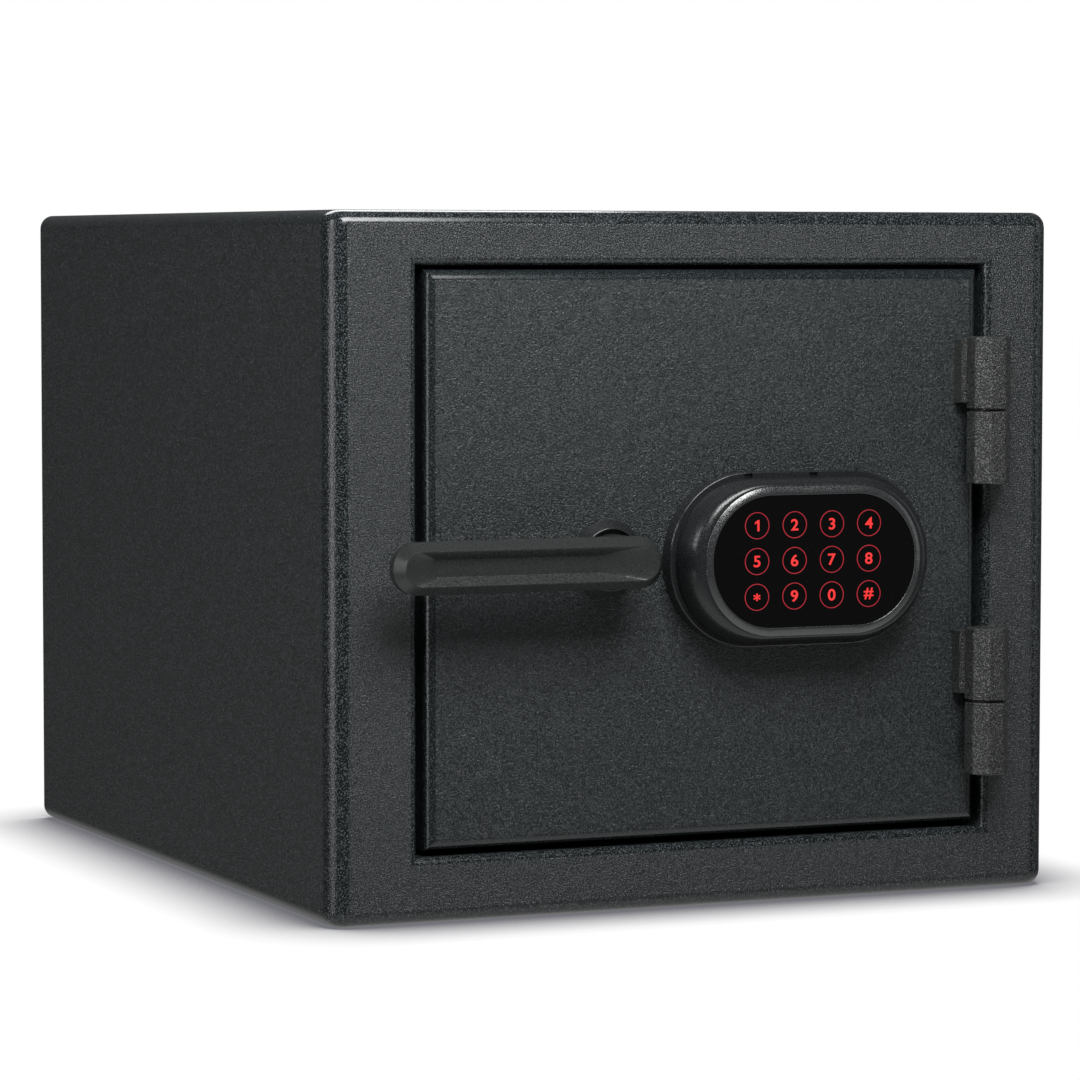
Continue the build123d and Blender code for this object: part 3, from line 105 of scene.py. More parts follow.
@dataclass(frozen=True)
class Finish:
    """What every finish has: a name, a body colour and the way its surface takes light."""

    name: str
    colour: str
    roughness: float
    metallic: float = 0.0
    ior: float = 1.5

    made: ClassVar[dict[str, bpy.types.Material]] = {}

    def material(self) -> bpy.types.Material:
        """Make the finish's material the first time, and give the same one after that."""
        if self.name not in Finish.made:
            material = bpy.data.materials.new(self.name)
            material.use_nodes = True
            tree = material.node_tree
            shader = tree.nodes["Principled BSDF"]
            shader.inputs["Base Color"].default_value = linear(self.colour)
            shader.inputs["Roughness"].default_value = self.roughness
            shader.inputs["Metallic"].default_value = self.metallic
            shader.inputs["IOR"].default_value = self.ior
            material.diffuse_color = linear(self.colour)
            place = add_node(tree, "ShaderNodeTexCoord").outputs["Object"]
            self.detail(tree, shader, place)
            Finish.made[self.name] = material
        return Finish.made[self.name]

    def detail(self, tree: bpy.types.NodeTree, shader: bpy.types.Node, place: bpy.types.NodeSocket) -> None:
        """Add the finish's own pattern.

        Args:
            tree: The material's node tree.
            shader: The surface shader.
            place: The point on the object, in metres.
        """
        raise NotImplementedError

    def noise(
        self,
        tree: bpy.types.NodeTree,
        place: bpy.types.NodeSocket,
        size_mm: float,
        detail: float = 2.0,
        roughness: float = 0.5,
    ) -> bpy.types.NodeSocket:
        """Add a cloud pattern whose lumps have a real size.

        Args:
            tree: The material's node tree.
            place: The point on the object, in metres.
            size_mm: The size of one lump.
            detail: How many finer layers lie on it.
            roughness: How strong the finer layers are.

        Returns:
            The pattern, from nought to one.
        """
        settings = {"Scale": 1 / (size_mm * MM), "Detail": detail, "Roughness": roughness}
        return add_node(tree, "ShaderNodeTexNoise", settings, {"Vector": place}).outputs[0]

    def between(
        self,
        tree: bpy.types.NodeTree,
        value: bpy.types.NodeSocket,
        source: tuple[float, float],
        target: tuple[float, float],
    ) -> bpy.types.NodeSocket:
        """Stretch a value from one range to another, held at its ends.

        Args:
            tree: The material's node tree.
            value: What is stretched.
            source: The range that it comes in.
            target: The range that it leaves in.

        Returns:
            The stretched value.
        """
        settings = {1: source[0], 2: source[1], 3: target[0], 4: target[1]}
        return add_node(tree, "ShaderNodeMapRange", settings, {0: value}).outputs[0]

    def blend(
        self,
        tree: bpy.types.NodeTree,
        factor: bpy.types.NodeSocket,
        first: bpy.types.NodeSocket | str,
        second: bpy.types.NodeSocket | str,
    ) -> bpy.types.NodeSocket:
        """Mix two colours.

        Args:
            tree: The material's node tree.
            factor: How much of the second shows.
            first: A colour, as hex or as a socket.
            second: Another colour, as hex or as a socket.

        Returns:
            The mixed colour.
        """
        settings: dict[str | int, object] = {"data_type": "RGBA"}
        links: dict[str | int, bpy.types.NodeSocket] = {0: factor}
        for slot, colour in ((6, first), (7, second)):
            if isinstance(colour, str):
                settings[slot] = linear(colour)
            else:
                links[slot] = colour
        return add_node(tree, "ShaderNodeMix", settings, links).outputs[2]

    def relief(
        self,
        tree: bpy.types.NodeTree,
        shader: bpy.types.Node,
        height: bpy.types.NodeSocket,
        depth_mm: float,
    ) -> bpy.types.Node:
        """Raise a pattern from the surface.

        Args:
            tree: The material's node tree.
            shader: The surface shader.
            height: The pattern.
            depth_mm: How high its peaks stand.

        Returns:
            The bump node, whose strength can be driven further.
        """
        settings = {"Strength": 1.0, "Distance": depth_mm * MM}
        bump = add_node(tree, "ShaderNodeBump", settings, {"Height": height})
        tree.links.new(bump.outputs[0], shader.inputs["Normal"])
        return bump


@dataclass(frozen=True)
class PowderCoat(Finish):
    """Baked powder coat: fine lumps whose tips are painted a paler colour as a highlight, rubbed smooth and
    glossy along the level folds.
    """

    painted_tip_highlight: str = "#5c6163"
    grain_mm: float = 0.9
    relief_mm: float = 0.12
    painted_tip_highlight_share: float = 0.25
    gloss_spread: float = 0.12
    fold_gloss: float | None = None
    flat_limits: tuple[float, float] = (0.985, 0.999)
    upright_limits: tuple[float, float] = (0.05, 0.2)
    upright_grain: float = 0.22

    def detail(self, tree: bpy.types.NodeTree, shader: bpy.types.Node, place: bpy.types.NodeSocket) -> None:
        """Add the lumps, a painted highlight in a paler colour on their tips, and the change of gloss from
        one lump to the next.
        """
        lumps = self.noise(tree, place, self.grain_mm, 1.0)
        # Painted highlight: the tips of the lumps are coloured paler, standing in for the coat's sparkle.
        tips = self.between(tree, lumps, (0.5, 0.72), (0.0, self.painted_tip_highlight_share))
        colour = self.blend(tree, tips, self.colour, self.painted_tip_highlight)
        tree.links.new(colour, shader.inputs["Base Color"])
        melt = self.noise(tree, place, self.grain_mm * 1.2, 1.0)
        spread = (self.roughness - self.gloss_spread, self.roughness + self.gloss_spread)
        gloss = self.between(tree, melt, (0.38, 0.62), spread)
        bump = self.relief(tree, shader, lumps, self.relief_mm)
        if self.fold_gloss is not None:
            rough = self.unrubbed(tree)
            tree.links.new(rough, bump.inputs["Strength"])
            gloss = self.mixed_value(tree, rough, self.fold_gloss, gloss)
        tree.links.new(gloss, shader.inputs["Roughness"])

    def unrubbed(self, tree: bpy.types.NodeTree) -> bpy.types.NodeSocket:
        """Tell how much grain is left: all on flat sheet, a little on upright folds, and none on level ones.

        Args:
            tree: The material's node tree.

        Returns:
            The share of grain left.
        """
        normal = add_node(tree, "ShaderNodeTexCoord").outputs["Normal"]
        facing = add_node(tree, "ShaderNodeVectorMath", {"operation": "ABSOLUTE"}, {0: normal}).outputs[0]
        parts = add_node(tree, "ShaderNodeSeparateXYZ", {}, {0: facing})
        most = self.larger(tree, self.larger(tree, parts.outputs[0], parts.outputs[1]), parts.outputs[2])
        flat = self.between(tree, most, self.flat_limits, (0.0, 1.0))
        upright = self.between(tree, parts.outputs[2], self.upright_limits, (self.upright_grain, 0.0))
        return self.larger(tree, flat, upright)

    def larger(
        self,
        tree: bpy.types.NodeTree,
        first: bpy.types.NodeSocket,
        second: bpy.types.NodeSocket,
    ) -> bpy.types.NodeSocket:
        """Take the larger of two values.

        Args:
            tree: The material's node tree.
            first: One value.
            second: Another value.

        Returns:
            The larger value.
        """
        return add_node(tree, "ShaderNodeMath", {"operation": "MAXIMUM"}, {0: first, 1: second}).outputs[0]

    def mixed_value(
        self,
        tree: bpy.types.NodeTree,
        factor: bpy.types.NodeSocket,
        first: float,
        second: bpy.types.NodeSocket,
    ) -> bpy.types.NodeSocket:
        """Mix a plain number with a pattern.

        Args:
            tree: The material's node tree.
            factor: How much of the pattern shows.
            first: The plain number.
            second: The pattern.

        Returns:
            The mixed value.
        """
        return add_node(tree, "ShaderNodeMix", {2: first}, {0: factor, 3: second}).outputs[0]


@dataclass(frozen=True)
class Enamel(Finish):
    """Smooth sprayed enamel: an even coat with the faint waves of orange peel."""

    peel_mm: float = 3.0

    def detail(self, tree: bpy.types.NodeTree, shader: bpy.types.Node, place: bpy.types.NodeSocket) -> None:
        """Add the orange peel and a slight unevenness of colour."""
        drift = self.noise(tree, place, 45.0, 3.0)
        shade = self.between(tree, drift, (0.3, 0.7), (0.0, 0.12))
        tree.links.new(self.blend(tree, shade, self.colour, "#808488"), shader.inputs["Base Color"])
        self.relief(tree, shader, self.noise(tree, place, self.peel_mm, 1.0), 0.02)


@dataclass(frozen=True)
class WorkedSteel(Finish):
    """Ground, rolled or plated steel: hair lines along the way it was worked, and a few darker patches."""

    grain: Grain = Grain.ROUND
    line_mm: float = 0.5

    def detail(self, tree: bpy.types.NodeTree, shader: bpy.types.Node, place: bpy.types.NodeSocket) -> None:
        """Add the hair lines to the gloss and the height, and patches to the colour."""
        stretch = {"Scale": Vector(self.grain.value)}
        stretched = add_node(tree, "ShaderNodeMapping", stretch, {"Vector": place})
        lines = self.noise(tree, stretched.outputs[0], self.line_mm, 4.0, 0.7)
        gloss = self.between(tree, lines, (0.25, 0.75), (self.roughness - 0.1, self.roughness + 0.12))
        tree.links.new(gloss, shader.inputs["Roughness"])
        patches = self.between(tree, self.noise(tree, place, 14.0, 4.0), (0.4, 0.75), (0.0, 0.25))
        tree.links.new(self.blend(tree, patches, self.colour, "#4c4a46"), shader.inputs["Base Color"])
        self.relief(tree, shader, lines, 0.01)


@dataclass(frozen=True)
class CastInsulation(Finish):
    """Poured vermiculite and cement: pale, dusty and full of small pores."""

    pore_mm: float = 3.0

    def detail(self, tree: bpy.types.NodeTree, shader: bpy.types.Node, place: bpy.types.NodeSocket) -> None:
        """Add pores and golden grains."""
        cells = add_node(tree, "ShaderNodeTexVoronoi", {"Scale": 1 / (self.pore_mm * MM)}, {"Vector": place})
        grains = self.between(tree, cells.outputs["Distance"], (0.1, 0.6), (0.6, 0.0))
        tree.links.new(self.blend(tree, grains, self.colour, "#8a7650"), shader.inputs["Base Color"])
        self.relief(tree, shader, cells.outputs["Distance"], 0.5)


@dataclass(frozen=True)
class Moulded(Finish):
    """Moulded rubber or plastic: a soft grain copied from the tool, slightly uneven in gloss."""

    grain_mm: float = 0.6
    tint: str = "#3a3a3a"

    def detail(self, tree: bpy.types.NodeTree, shader: bpy.types.Node, place: bpy.types.NodeSocket) -> None:
        """Add the tool's grain."""
        grain = self.noise(tree, place, self.grain_mm, 2.0)
        shade = self.between(tree, grain, (0.45, 0.75), (0.0, 0.35))
        tree.links.new(self.blend(tree, shade, self.colour, self.tint), shader.inputs["Base Color"])
        gloss = self.between(tree, grain, (0.3, 0.7), (self.roughness - 0.05, self.roughness + 0.05))
        tree.links.new(gloss, shader.inputs["Roughness"])
        self.relief(tree, shader, grain, 0.03)


@dataclass(frozen=True)
class TouchGlass(Finish):
    """Polished black acrylic: a deep mirror with barely visible finger smears."""

    def detail(self, tree: bpy.types.NodeTree, shader: bpy.types.Node, place: bpy.types.NodeSocket) -> None:
        """Add the smears to the gloss and a trace of dust to the colour."""
        smears = self.noise(tree, place, 18.0, 5.0, 0.65)
        gloss = self.between(tree, smears, (0.45, 0.8), (self.roughness, self.roughness + 0.12))
        tree.links.new(gloss, shader.inputs["Roughness"])
        dust = self.between(tree, self.noise(tree, place, 0.8, 1.0), (0.66, 0.8), (0.0, 0.2))
        tree.links.new(self.blend(tree, dust, self.colour, "#2c2c2c"), shader.inputs["Base Color"])


@dataclass(frozen=True)
class LitInk(Finish):
    """Red light behind printed marks, slightly uneven from the diodes that make it."""

    glow: float = 2.2

    def detail(self, tree: bpy.types.NodeTree, shader: bpy.types.Node, place: bpy.types.NodeSocket) -> None:
        """Add the glow and its uneven patches."""
        patches = self.noise(tree, place, 9.0, 1.0)
        share = self.between(tree, patches, (0.3, 0.7), (0.0, 0.12))
        tree.links.new(self.blend(tree, share, self.colour, "#ff5a50"), shader.inputs["Emission Color"])
        shader.inputs["Base Color"].default_value = linear("#2a0608")
        shader.inputs["Emission Strength"].default_value = self.glow


@dataclass(frozen=True)
class CircuitBoard(Finish):
    """Green solder mask over copper: thin paler tracks on a straight grid."""

    track_mm: float = 2.5

    def detail(self, tree: bpy.types.NodeTree, shader: bpy.types.Node, place: bpy.types.NodeSocket) -> None:
        """Add the tracks, stepped so that they run straight and turn square."""
        settings = {"Scale": 1 / (self.track_mm * MM), "distance": "MANHATTAN", "feature": "F1"}
        tracks = add_node(tree, "ShaderNodeTexVoronoi", settings, {"Vector": place}).outputs["Distance"]
        mask = self.between(tree, tracks, (0.55, 0.6), (0.0, 0.7))
        tree.links.new(self.blend(tree, mask, self.colour, "#2f7d4c"), shader.inputs["Base Color"])
        self.relief(tree, shader, mask, 0.03)


@dataclass(frozen=True)
class WoundWire(Finish):
    """Lacquered copper wire in close turns: copper ridges, with painted shade as dark lines in the grooves
    between them.
    """

    wire_mm: float = 0.8

    def detail(self, tree: bpy.types.NodeTree, shader: bpy.types.Node, place: bpy.types.NodeSocket) -> None:
        """Add the turns, one above the other, and painted shade in the grooves between them."""
        settings = {"Scale": 0.314 / (self.wire_mm * MM), "bands_direction": "Z", "Distortion": 0.0}
        turns = add_node(tree, "ShaderNodeTexWave", settings, {"Vector": place}).outputs["Fac"]
        # Painted shade: the grooves between the turns are coloured dark brown.
        tree.links.new(self.blend(tree, turns, "#2a1408", self.colour), shader.inputs["Base Color"])
        self.relief(tree, shader, turns, 0.3)


# Textured polyester powder coat, sprayed and baked: dark charcoal with a painted highlight on its lump tips,
# and bright level folds.
CABINET_COAT = PowderCoat(
    "powder_coat_charcoal_textured", "#101415", 0.36,
    painted_tip_highlight="#656d70", grain_mm=0.7, relief_mm=0.9, painted_tip_highlight_share=0.65, fold_gloss=0.16,
)
# The same powder on the door, a little finer and flatter.
DOOR_COAT = PowderCoat(
    "powder_coat_charcoal_fine", "#121718", 0.36,
    painted_tip_highlight="#565e61", grain_mm=0.65, relief_mm=0.55, painted_tip_highlight_share=0.5, fold_gloss=0.16,
)
# Thick powder on welded steel barrels: coarser lumps, greyer for the painted highlight on their tips.
HINGE_COAT = PowderCoat(
    "powder_coat_hinge_coarse", "#151716", 0.36,
    painted_tip_highlight="#808380", grain_mm=0.75, relief_mm=0.65, painted_tip_highlight_share=0.5,
)
# Sprayed black on a die-cast lever: a soft sheen over a fine even grain.
LEVER_COAT = PowderCoat(
    "sprayed_black_die_casting", "#272929", 0.28, painted_tip_highlight="#444747", grain_mm=0.6, relief_mm=0.08,
)
# The same coat, smoother and glossier, on the keypad's die casting.
KEYPAD_COAT = PowderCoat(
    "sprayed_black_keypad_casting", "#1a1c1d", 0.26, painted_tip_highlight="#34383a", grain_mm=0.6, relief_mm=0.03,
)
# The bezel: the same black over plated zinc, glossier, so that its upper slope turns white under the lamp.
BEZEL_COAT = PowderCoat(
    "gloss_black_plated_bezel", "#242627", 0.24, ior=1.9, painted_tip_highlight="#44484a", grain_mm=0.5, relief_mm=0.04,
)
# Pale grey stoved enamel inside, smooth and clean.
INNER_ENAMEL = Enamel("stoved_enamel_pale_grey", "#9b9fa2", 0.38)
# Poured insulation behind the sheets.
INSULATION = CastInsulation("poured_vermiculite_cement", "#b5ab97", 0.95)
# Cold-rolled sheet, oiled: grey with soft lines along the roll.
ROLLED_STEEL = WorkedSteel("cold_rolled_steel_sheet", "#8a8c8e", 0.38, 1.0, grain=Grain.UPRIGHT)
# Hardened plate against drills: dark scale from the quench.
HARD_STEEL = WorkedSteel("hardened_steel_plate", "#43454a", 0.5, 1.0)
# Turned and ground bar: the brightest metal, with fine lines round it.
GROUND_STEEL = WorkedSteel("ground_steel_bar", "#b9bbbd", 0.22, 1.0, grain=Grain.LEVEL, line_mm=0.3)
# Zinc-plated screws: cool and slightly milky.
ZINC_PLATE = WorkedSteel("zinc_plated_screw", "#a5a9b0", 0.3, 1.0)
# Turned brass standoffs.
BRASS = WorkedSteel("turned_brass_standoff", "#9a7440", 0.4, 1.0)
# Black bearing plastic between the hinge halves.
NYLON = Moulded("moulded_nylon_washer", "#0c0c0c", 0.6)
# Swelling fire seal and gaskets: dull black rubber.
SEAL_RUBBER = Moulded("extruded_seal_rubber", "#0f0f0f", 0.8)
# Cable sheath.
SHEATH = Moulded("extruded_cable_sheath", "#141414", 0.5)
# Battery sleeves: dark shrink film.
BATTERY_FILM = Moulded("shrink_film_battery_sleeve", "#22262c", 0.25, grain_mm=6.0, tint="#8a6a2c")
# Polished acrylic over the keys.
TOUCH_ACRYLIC = TouchGlass("polished_black_acrylic", "#030303", 0.06)
# Lit digits and the thinner, dimmer rings round them.
LIT_DIGIT = LitInk("lit_red_digit", "#ff3434", 0.5, glow=1.0)
LIT_RING = LitInk("lit_red_ring", "#a81a2e", 0.5, glow=1.0)
# Keypad and control boards.
BOARD = CircuitBoard("solder_mask_circuit_board", "#0e4a26", 0.35)
# Solenoid winding.
WINDING = WoundWire("lacquered_copper_winding", "#b0642c", 0.35, 0.6)


@dataclass
class SubAssembly:
    """A group of pieces that is dressed together: the frame's nodes in it, and what each one wears."""

    title: str = ""
    wardrobe: dict[str, Finish] = field(default_factory=dict)
    seam_mm: ClassVar[float] = 0.01

    def dress(self) -> None:
        """Give each of the frame's nodes its finish."""
        for node, finish in self.wardrobe.items():
            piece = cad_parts[node]
            piece.data.materials.clear()
            piece.data.materials.append(finish.material())
            log.info("%s: %s wears %s", self.title, node, finish.name)

    def soften(self, node: str, width_mm: float, segments: int = 3, angle: float = 28.0) -> None:
        """Round a node's sharp edges.

        Args:
            node: The frame's node.
            width_mm: How far the rounding reaches from the edge.
            segments: How many strips it has.
            angle: The least fold, in degrees, that counts as an edge.
        """
        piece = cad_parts[node]
        weld = piece.modifiers.new("join_seams", "WELD")
        weld.merge_threshold = self.seam_mm * MM
        bevel = piece.modifiers.new("round_edges", "BEVEL")
        bevel.width = width_mm * MM
        bevel.segments = segments
        bevel.limit_method = "ANGLE"
        bevel.angle_limit = math.radians(angle)
        bevel.harden_normals = False
        for face in piece.data.polygons:
            face.use_smooth = True
        even = piece.modifiers.new("even_shading", "WEIGHTED_NORMAL")
        even.keep_sharp = False

    def build(self) -> None:
        """Dress the nodes, and then add what the frame has not got."""
        self.dress()
        self.add_pieces()

    def add_pieces(self) -> None:
        """Add this sub-assembly's own pieces; most have none."""


@dataclass
class Cabinet(SubAssembly):
    """The double-walled cabinet with its doorway."""

    title: str = "cabinet"
    wardrobe: dict[str, Finish] = field(default_factory=lambda: {
        "outer_casing": CABINET_COAT,
        "back_panel": CABINET_COAT,
        "door_jamb": DOOR_COAT,
        "inner_liner": INNER_ENAMEL,
        "body_insulation": INSULATION,
        "strike_plate": ROLLED_STEEL,
        "bolt_pocket": ROLLED_STEEL,
        "anchor_sleeves": ZINC_PLATE,
        "shelf": INNER_ENAMEL,
        "shelf_brackets": INNER_ENAMEL,
    })


@dataclass
class Hinges(SubAssembly):
    """Two lift-off hinges: eight-sided barrels on a ground pin."""

    title: str = "hinges"
    wardrobe: dict[str, Finish] = field(default_factory=lambda: {
        "frame_knuckles": HINGE_COAT,
        "door_knuckles": HINGE_COAT,
        "hinge_pins": GROUND_STEEL,
        "hinge_washers": NYLON,
    })


@dataclass
class DoorLeaf(SubAssembly):
    """The folded door pan with its filling, plates, seal and inner cover."""

    title: str = "door"
    wardrobe: dict[str, Finish] = field(default_factory=lambda: {
        "door_panel": DOOR_COAT,
        "door_insulation": INSULATION,
        "hard_plate": HARD_STEEL,
        "lock_plate": ROLLED_STEEL,
        "door_seal": SEAL_RUBBER,
        "door_inner_cover": INNER_ENAMEL,
        "cover_screws": ZINC_PLATE,
        "spindle_bush": GROUND_STEEL,
        "cable_conduit": GROUND_STEEL,
    })


@dataclass
class BoltWork(SubAssembly):
    """Locking bolts, their bar and guides, and the fixed bolts on the hinge side."""

    title: str = "bolt work"
    wardrobe: dict[str, Finish] = field(default_factory=lambda: {
        "dead_bolts": GROUND_STEEL,
        "dead_bolt_brackets": ROLLED_STEEL,
        "bolt_guide": ROLLED_STEEL,
        "guide_post": GROUND_STEEL,
        "bolt_bar": ROLLED_STEEL,
        "locking_bolts": GROUND_STEEL,
        "bolt_screws": ZINC_PLATE,
        "solenoid_coil": WINDING,
        "solenoid_bracket": ROLLED_STEEL,
        "solenoid_screw": ZINC_PLATE,
        "solenoid_plunger": GROUND_STEEL,
        "plunger_spring": GROUND_STEEL,
    })


@dataclass
class Handle(SubAssembly):
    """The lever, what it turns, and the rosette behind it."""

    title: str = "handle"
    wardrobe: dict[str, Finish] = field(default_factory=lambda: {
        "lever": LEVER_COAT,
        "handle_rosette": KEYPAD_COAT,
        "grub_screw": ZINC_PLATE,
        "spindle": GROUND_STEEL,
        "retaining_clip": GROUND_STEEL,
        "drive_cam": ROLLED_STEEL,
        "drive_pin": GROUND_STEEL,
    })

    def add_pieces(self) -> None:
        """Round the casting's edges."""
        self.soften("lever", 0.45, 3, 20.0)
        self.soften("handle_rosette", 0.3, 2)


@dataclass
class Keypad(SubAssembly):
    """The touch keypad: housing, bezel, acrylic panel, and the lit digits on it."""

    title: str = "keypad"
    body: str = "door"
    centre_x: float = 0.0486
    centre_z: float = 0.1733
    pitch_x: float = 0.0206
    pitch_z: float = 0.0176
    ring_radius: float = 0.00665
    ring_line: float = 0.00038
    digit_height: float = 0.0055
    letter_size: float = 1.43
    ring_steps: int = 64
    digit_widen: float = 1.12
    digit_weight: float = 0.00012
    proud: float = 0.00012
    rows: Sequence[str] = ("1234", "5678", "*90#")
    wardrobe: dict[str, Finish] = field(default_factory=lambda: {
        "keypad_base": KEYPAD_COAT,
        "keypad_gasket": SEAL_RUBBER,
        "keypad_housing": KEYPAD_COAT,
        "keypad_bezel": BEZEL_COAT,
        "touch_panel": TOUCH_ACRYLIC,
        "keypad_board": BOARD,
        "battery_tray": SEAL_RUBBER,
        "battery_cells": BATTERY_FILM,
        "keypad_screws": ZINC_PLATE,
        "keypad_cable": SHEATH,
        "control_board": BOARD,
        "board_standoffs": BRASS,
    })

    def key_places(self) -> list[tuple[str, float, float]]:
        """Give each key's sign and its centre in X and Z, in reading order."""
        return [
            (sign, self.centre_x + (column - 1.5) * self.pitch_x, self.centre_z + (1 - row) * self.pitch_z)
            for row, signs in enumerate(self.rows)
            for column, sign in enumerate(signs)
        ]

    def add_pieces(self) -> None:
        """Add the printed rings and digits, and round the bezel's edges."""
        self.soften("keypad_bezel", 0.25, 2)
        self.soften("keypad_base", 0.3, 2, 35.0)
        self.add_rings()
        self.add_digits()

    def add_rings(self) -> None:
        """Add a thin lit ring round each key, as one piece."""
        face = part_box("touch_panel")[0].y
        mesh = bmesh.new()
        steps = self.ring_steps
        for _, x, z in self.key_places():
            loops = []
            for radius, y in (
                (self.ring_radius, face + self.proud),
                (self.ring_radius, face - self.proud),
                (self.ring_radius - self.ring_line, face - self.proud),
                (self.ring_radius - self.ring_line, face + self.proud),
            ):
                loops.append([
                    mesh.verts.new((
                        x + radius * math.cos(2 * math.pi * i / steps),
                        y,
                        z + radius * math.sin(2 * math.pi * i / steps),
                    ))
                    for i in range(steps)
                ])
            for here, there in zip(loops, loops[1:] + loops[:1]):
                for i in range(steps):
                    j = (i + 1) % steps
                    mesh.faces.new((here[i], here[j], there[j], there[i]))
        bmesh.ops.recalc_face_normals(mesh, faces=mesh.faces)
        self.finish_mesh(mesh, "key_rings", LIT_RING)

    def add_digits(self) -> None:
        """Add the lit signs, as one piece cut from heavy letters."""
        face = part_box("touch_panel")[0].y
        mesh = bmesh.new()
        for sign, x, z in self.key_places():
            shape = self.one_shape() if sign == "1" else self.letter_shape(sign)
            corners = [v.co for v in shape.vertices]
            low = Vector((min(c.x for c in corners), min(c.y for c in corners), 0))
            high = Vector((max(c.x for c in corners), max(c.y for c in corners), 0))
            shape.transform(Matrix.Translation(-(low + high) / 2))
            shape.transform(Matrix.Translation((x, face, z)) @ Matrix.Rotation(math.pi / 2, 4, "X"))
            mesh.from_mesh(shape)
            bpy.data.meshes.remove(shape)
        self.finish_mesh(mesh, "key_digits", LIT_DIGIT)

    def letter_shape(self, sign: str) -> bpy.types.Mesh:
        """Cut a heavy, wide letter out of sheet.

        Args:
            sign: The letter, digit or mark.

        Returns:
            Its mesh, lying flat.
        """
        curve = bpy.data.curves.new("sign", "FONT")
        curve.body = sign
        curve.size = self.digit_height * self.letter_size
        curve.offset = self.digit_weight
        curve.extrude = self.proud
        letter = bpy.data.objects.new("sign", curve)
        shape = bpy.data.meshes.new_from_object(letter)
        shape.transform(Matrix.Diagonal((self.digit_widen, 1.0, 1.0, 1.0)))
        bpy.data.objects.remove(letter)
        bpy.data.curves.remove(curve)
        return shape

    def one_shape(self) -> bpy.types.Mesh:
        """Cut the digit one, with its flag, out of sheet.

        Returns:
            Its mesh, lying flat.
        """
        stem = self.digit_height * 0.2
        reach = self.digit_height * 0.24
        top = self.digit_height
        outline = (
            (0.0, 0.0), (stem, 0.0), (stem, top), (stem * 0.25, top),
            (-reach, top * 0.8), (-reach, top * 0.62), (0.0, top * 0.76),
        )
        mesh = bmesh.new()
        low = [mesh.verts.new((x, y, -self.proud)) for x, y in outline]
        high = [mesh.verts.new((x, y, self.proud)) for x, y in outline]
        mesh.faces.new(list(reversed(low)))
        mesh.faces.new(high)
        for i, corner in enumerate(low):
            j = (i + 1) % len(low)
            mesh.faces.new((corner, low[j], high[j], high[i]))
        shape = bpy.data.meshes.new("sign")
        mesh.to_mesh(shape)
        mesh.free()
        return shape

    def finish_mesh(self, mesh: bmesh.types.BMesh, name: str, finish: Finish) -> None:
        """Turn a mesh into a dressed piece that rides on the door.

        Args:
            mesh: The shape, which is freed.
            name: The piece's name.
            finish: What it wears.
        """
        data = bpy.data.meshes.new(name)
        mesh.to_mesh(data)
        mesh.free()
        data.materials.append(finish.material())
        piece = bpy.data.objects.new(name, data)
        bpy.context.scene.collection.objects.link(piece)
        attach(piece, self.body)
        log.info("%s: added %s", self.title, name)


@dataclass
class SoftLight:
    """One soft rectangular lamp, aimed at a point."""

    name: str
    place: Sequence[float]
    aim: Sequence[float]
    size: tuple[float, float]
    watts: float

    def build(self) -> None:
        """Hang the lamp and aim it."""
        lamp = bpy.data.lights.new(self.name, "AREA")
        lamp.shape = "RECTANGLE"
        lamp.size, lamp.size_y = self.size
        lamp.energy = self.watts
        holder = bpy.data.objects.new(self.name, lamp)
        holder.location = self.place
        away = Vector(self.aim) - Vector(self.place)
        holder.rotation_euler = away.to_track_quat("-Z", "Y").to_euler()
        holder.visible_camera = False
        bpy.context.scene.collection.objects.link(holder)
        log.info("studio: lit %s", self.name)


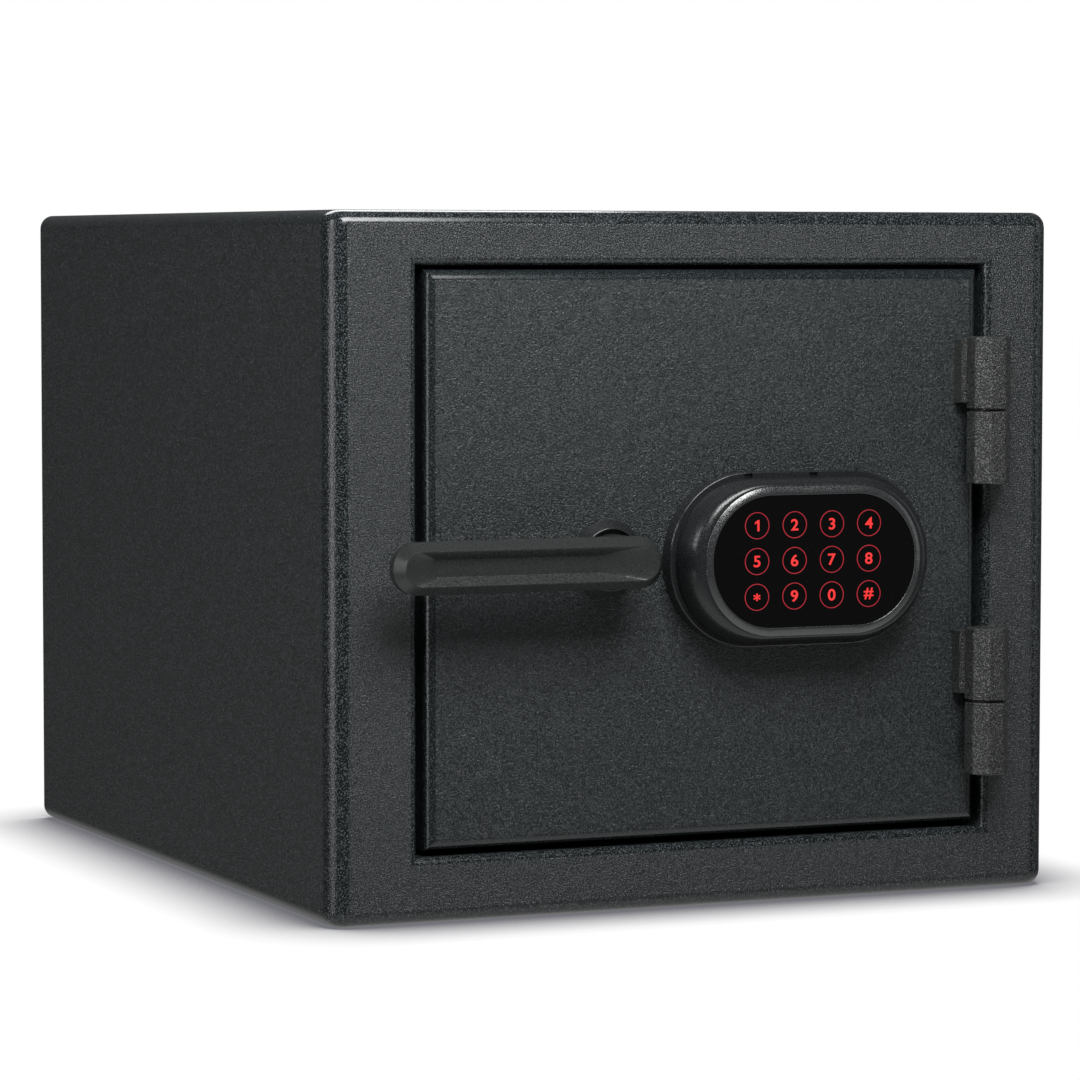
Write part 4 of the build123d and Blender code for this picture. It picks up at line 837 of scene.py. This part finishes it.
@dataclass
class Studio:
    """A white room: pale floor, soft lamps and the camera."""

    camera_place: Sequence[float] = (-0.9438, -2.1980, 0.3255)
    camera_yaw: float = 23.526
    camera_pitch: float = -3.746
    camera_roll: float = 0.046
    lens: float = 147.35
    floor_span: float = 30.0
    fill: float = 0.085
    bounce: float = 0.8
    low_sky: tuple[float, float] = (-0.7, -0.2)
    shadow_reach: float = 0.06
    shadow_start: float = 0.5
    shadow_tint: str = "#727279"
    lamps: Sequence[SoftLight] = (
        SoftLight("front_key", (-0.12, -0.92, 0.98), (-0.14, -0.23, 0.24), (0.7, 0.5), 17.5),
        SoftLight("top_softbox", (0.0, 0.75, 1.35), (0.0, -0.1, 0.3), (1.2, 0.6), 16.0),
        SoftLight("left_strip", (-1.72, -0.62, 0.50), (-0.19, -0.2, 0.2), (0.55, 1.5), 11.0),
        SoftLight("right_strip", (1.70, -0.75, 0.55), (0.19, -0.2, 0.2), (0.4, 1.3), 1.2),
    )

    def build(self) -> None:
        """Set up the room, the lamps and the camera."""
        self.add_floor()
        self.add_world()
        for lamp in self.lamps:
            lamp.build()
        self.add_camera()
        bpy.context.scene.view_settings.view_transform = "Standard"

    def add_floor(self) -> None:
        """Lay a pale floor that shows white by its own glow, with a painted contact shadow that darkens the
        glow only where something stands close to it.
        """
        span = self.floor_span / 2
        data = bpy.data.meshes.new("studio_floor")
        corners = [(-span, -span, 0), (span, -span, 0), (span, span, 0), (-span, span, 0)]
        data.from_pydata(corners, [], [(0, 1, 2, 3)])
        material = bpy.data.materials.new("pale_studio_floor")
        material.use_nodes = True
        tree = material.node_tree
        shader = tree.nodes["Principled BSDF"]
        shader.inputs["Base Color"].default_value = linear("#0c0c0c")
        shader.inputs["Roughness"].default_value = 1.0
        shader.inputs["IOR"].default_value = 1.0
        shader.inputs["Emission Strength"].default_value = 1.0
        # Painted contact shadow: ambient occlusion darkens the floor's glow towards a grey tint next to
        # anything standing on it.
        reach = {"samples": 16, "Distance": self.shadow_reach}
        openness = add_node(tree, "ShaderNodeAmbientOcclusion", reach).outputs["AO"]
        limits = {1: self.shadow_start, 2: 1.0, 3: 0.0, 4: 1.0}
        share = add_node(tree, "ShaderNodeMapRange", limits, {0: openness})
        settings = {"data_type": "RGBA", 6: linear(self.shadow_tint), 7: linear("#ffffff")}
        painted_shadow_glow = add_node(tree, "ShaderNodeMix", settings, {0: share.outputs[0]})
        tree.links.new(painted_shadow_glow.outputs[2], shader.inputs["Emission Color"])
        data.materials.append(material)
        floor = bpy.data.objects.new("studio_floor", data)
        floor.visible_diffuse = False
        floor.visible_glossy = False
        bpy.context.scene.collection.objects.link(floor)

    def add_world(self) -> None:
        """Put a white backdrop behind a dim room that gives a little light all round and more from below."""
        world = bpy.data.worlds.new("white_backdrop")
        world.use_nodes = True
        tree = world.node_tree
        background = tree.nodes["Background"]
        background.inputs["Color"].default_value = linear("#ffffff")
        way = add_node(tree, "ShaderNodeTexCoord").outputs["Generated"]
        height = add_node(tree, "ShaderNodeSeparateXYZ", {}, {0: way}).outputs[2]
        levels = {1: self.low_sky[0], 2: self.low_sky[1], 3: self.bounce, 4: self.fill}
        room = add_node(tree, "ShaderNodeMapRange", levels, {0: height})
        seen = add_node(tree, "ShaderNodeLightPath").outputs["Is Camera Ray"]
        light = add_node(tree, "ShaderNodeMapRange", {1: 0.0, 2: 1.0, 4: 1.0}, {0: seen, 3: room.outputs[0]})
        tree.links.new(light.outputs[0], background.inputs["Strength"])
        bpy.context.scene.world = world

    def add_camera(self) -> None:
        """Stand the camera where it sees the front and the left side."""
        data = bpy.data.cameras.new("view")
        data.lens = self.lens
        data.sensor_width = 36.0
        data.clip_start = 0.1
        data.clip_end = 60.0
        camera = bpy.data.objects.new("view", data)
        camera.location = self.camera_place
        turn = Matrix.Rotation(math.radians(-self.camera_yaw), 4, "Z")
        tilt = Matrix.Rotation(math.radians(90 + self.camera_pitch), 4, "X")
        roll = Matrix.Rotation(math.radians(self.camera_roll), 4, "Z")
        camera.rotation_euler = (turn @ tilt @ roll).to_euler()
        bpy.context.scene.collection.objects.link(camera)
        bpy.context.scene.camera = camera


def main() -> None:
    """Build the safe's sub-assemblies in order, and then the studio round them."""
    logging.basicConfig(level=logging.INFO, format="%(message)s")
    for assembly in (Cabinet(), Hinges(), DoorLeaf(), BoltWork(), Handle(), Keypad()):
        assembly.build()
    Studio().build()


if __name__ == "__main__":
    main()
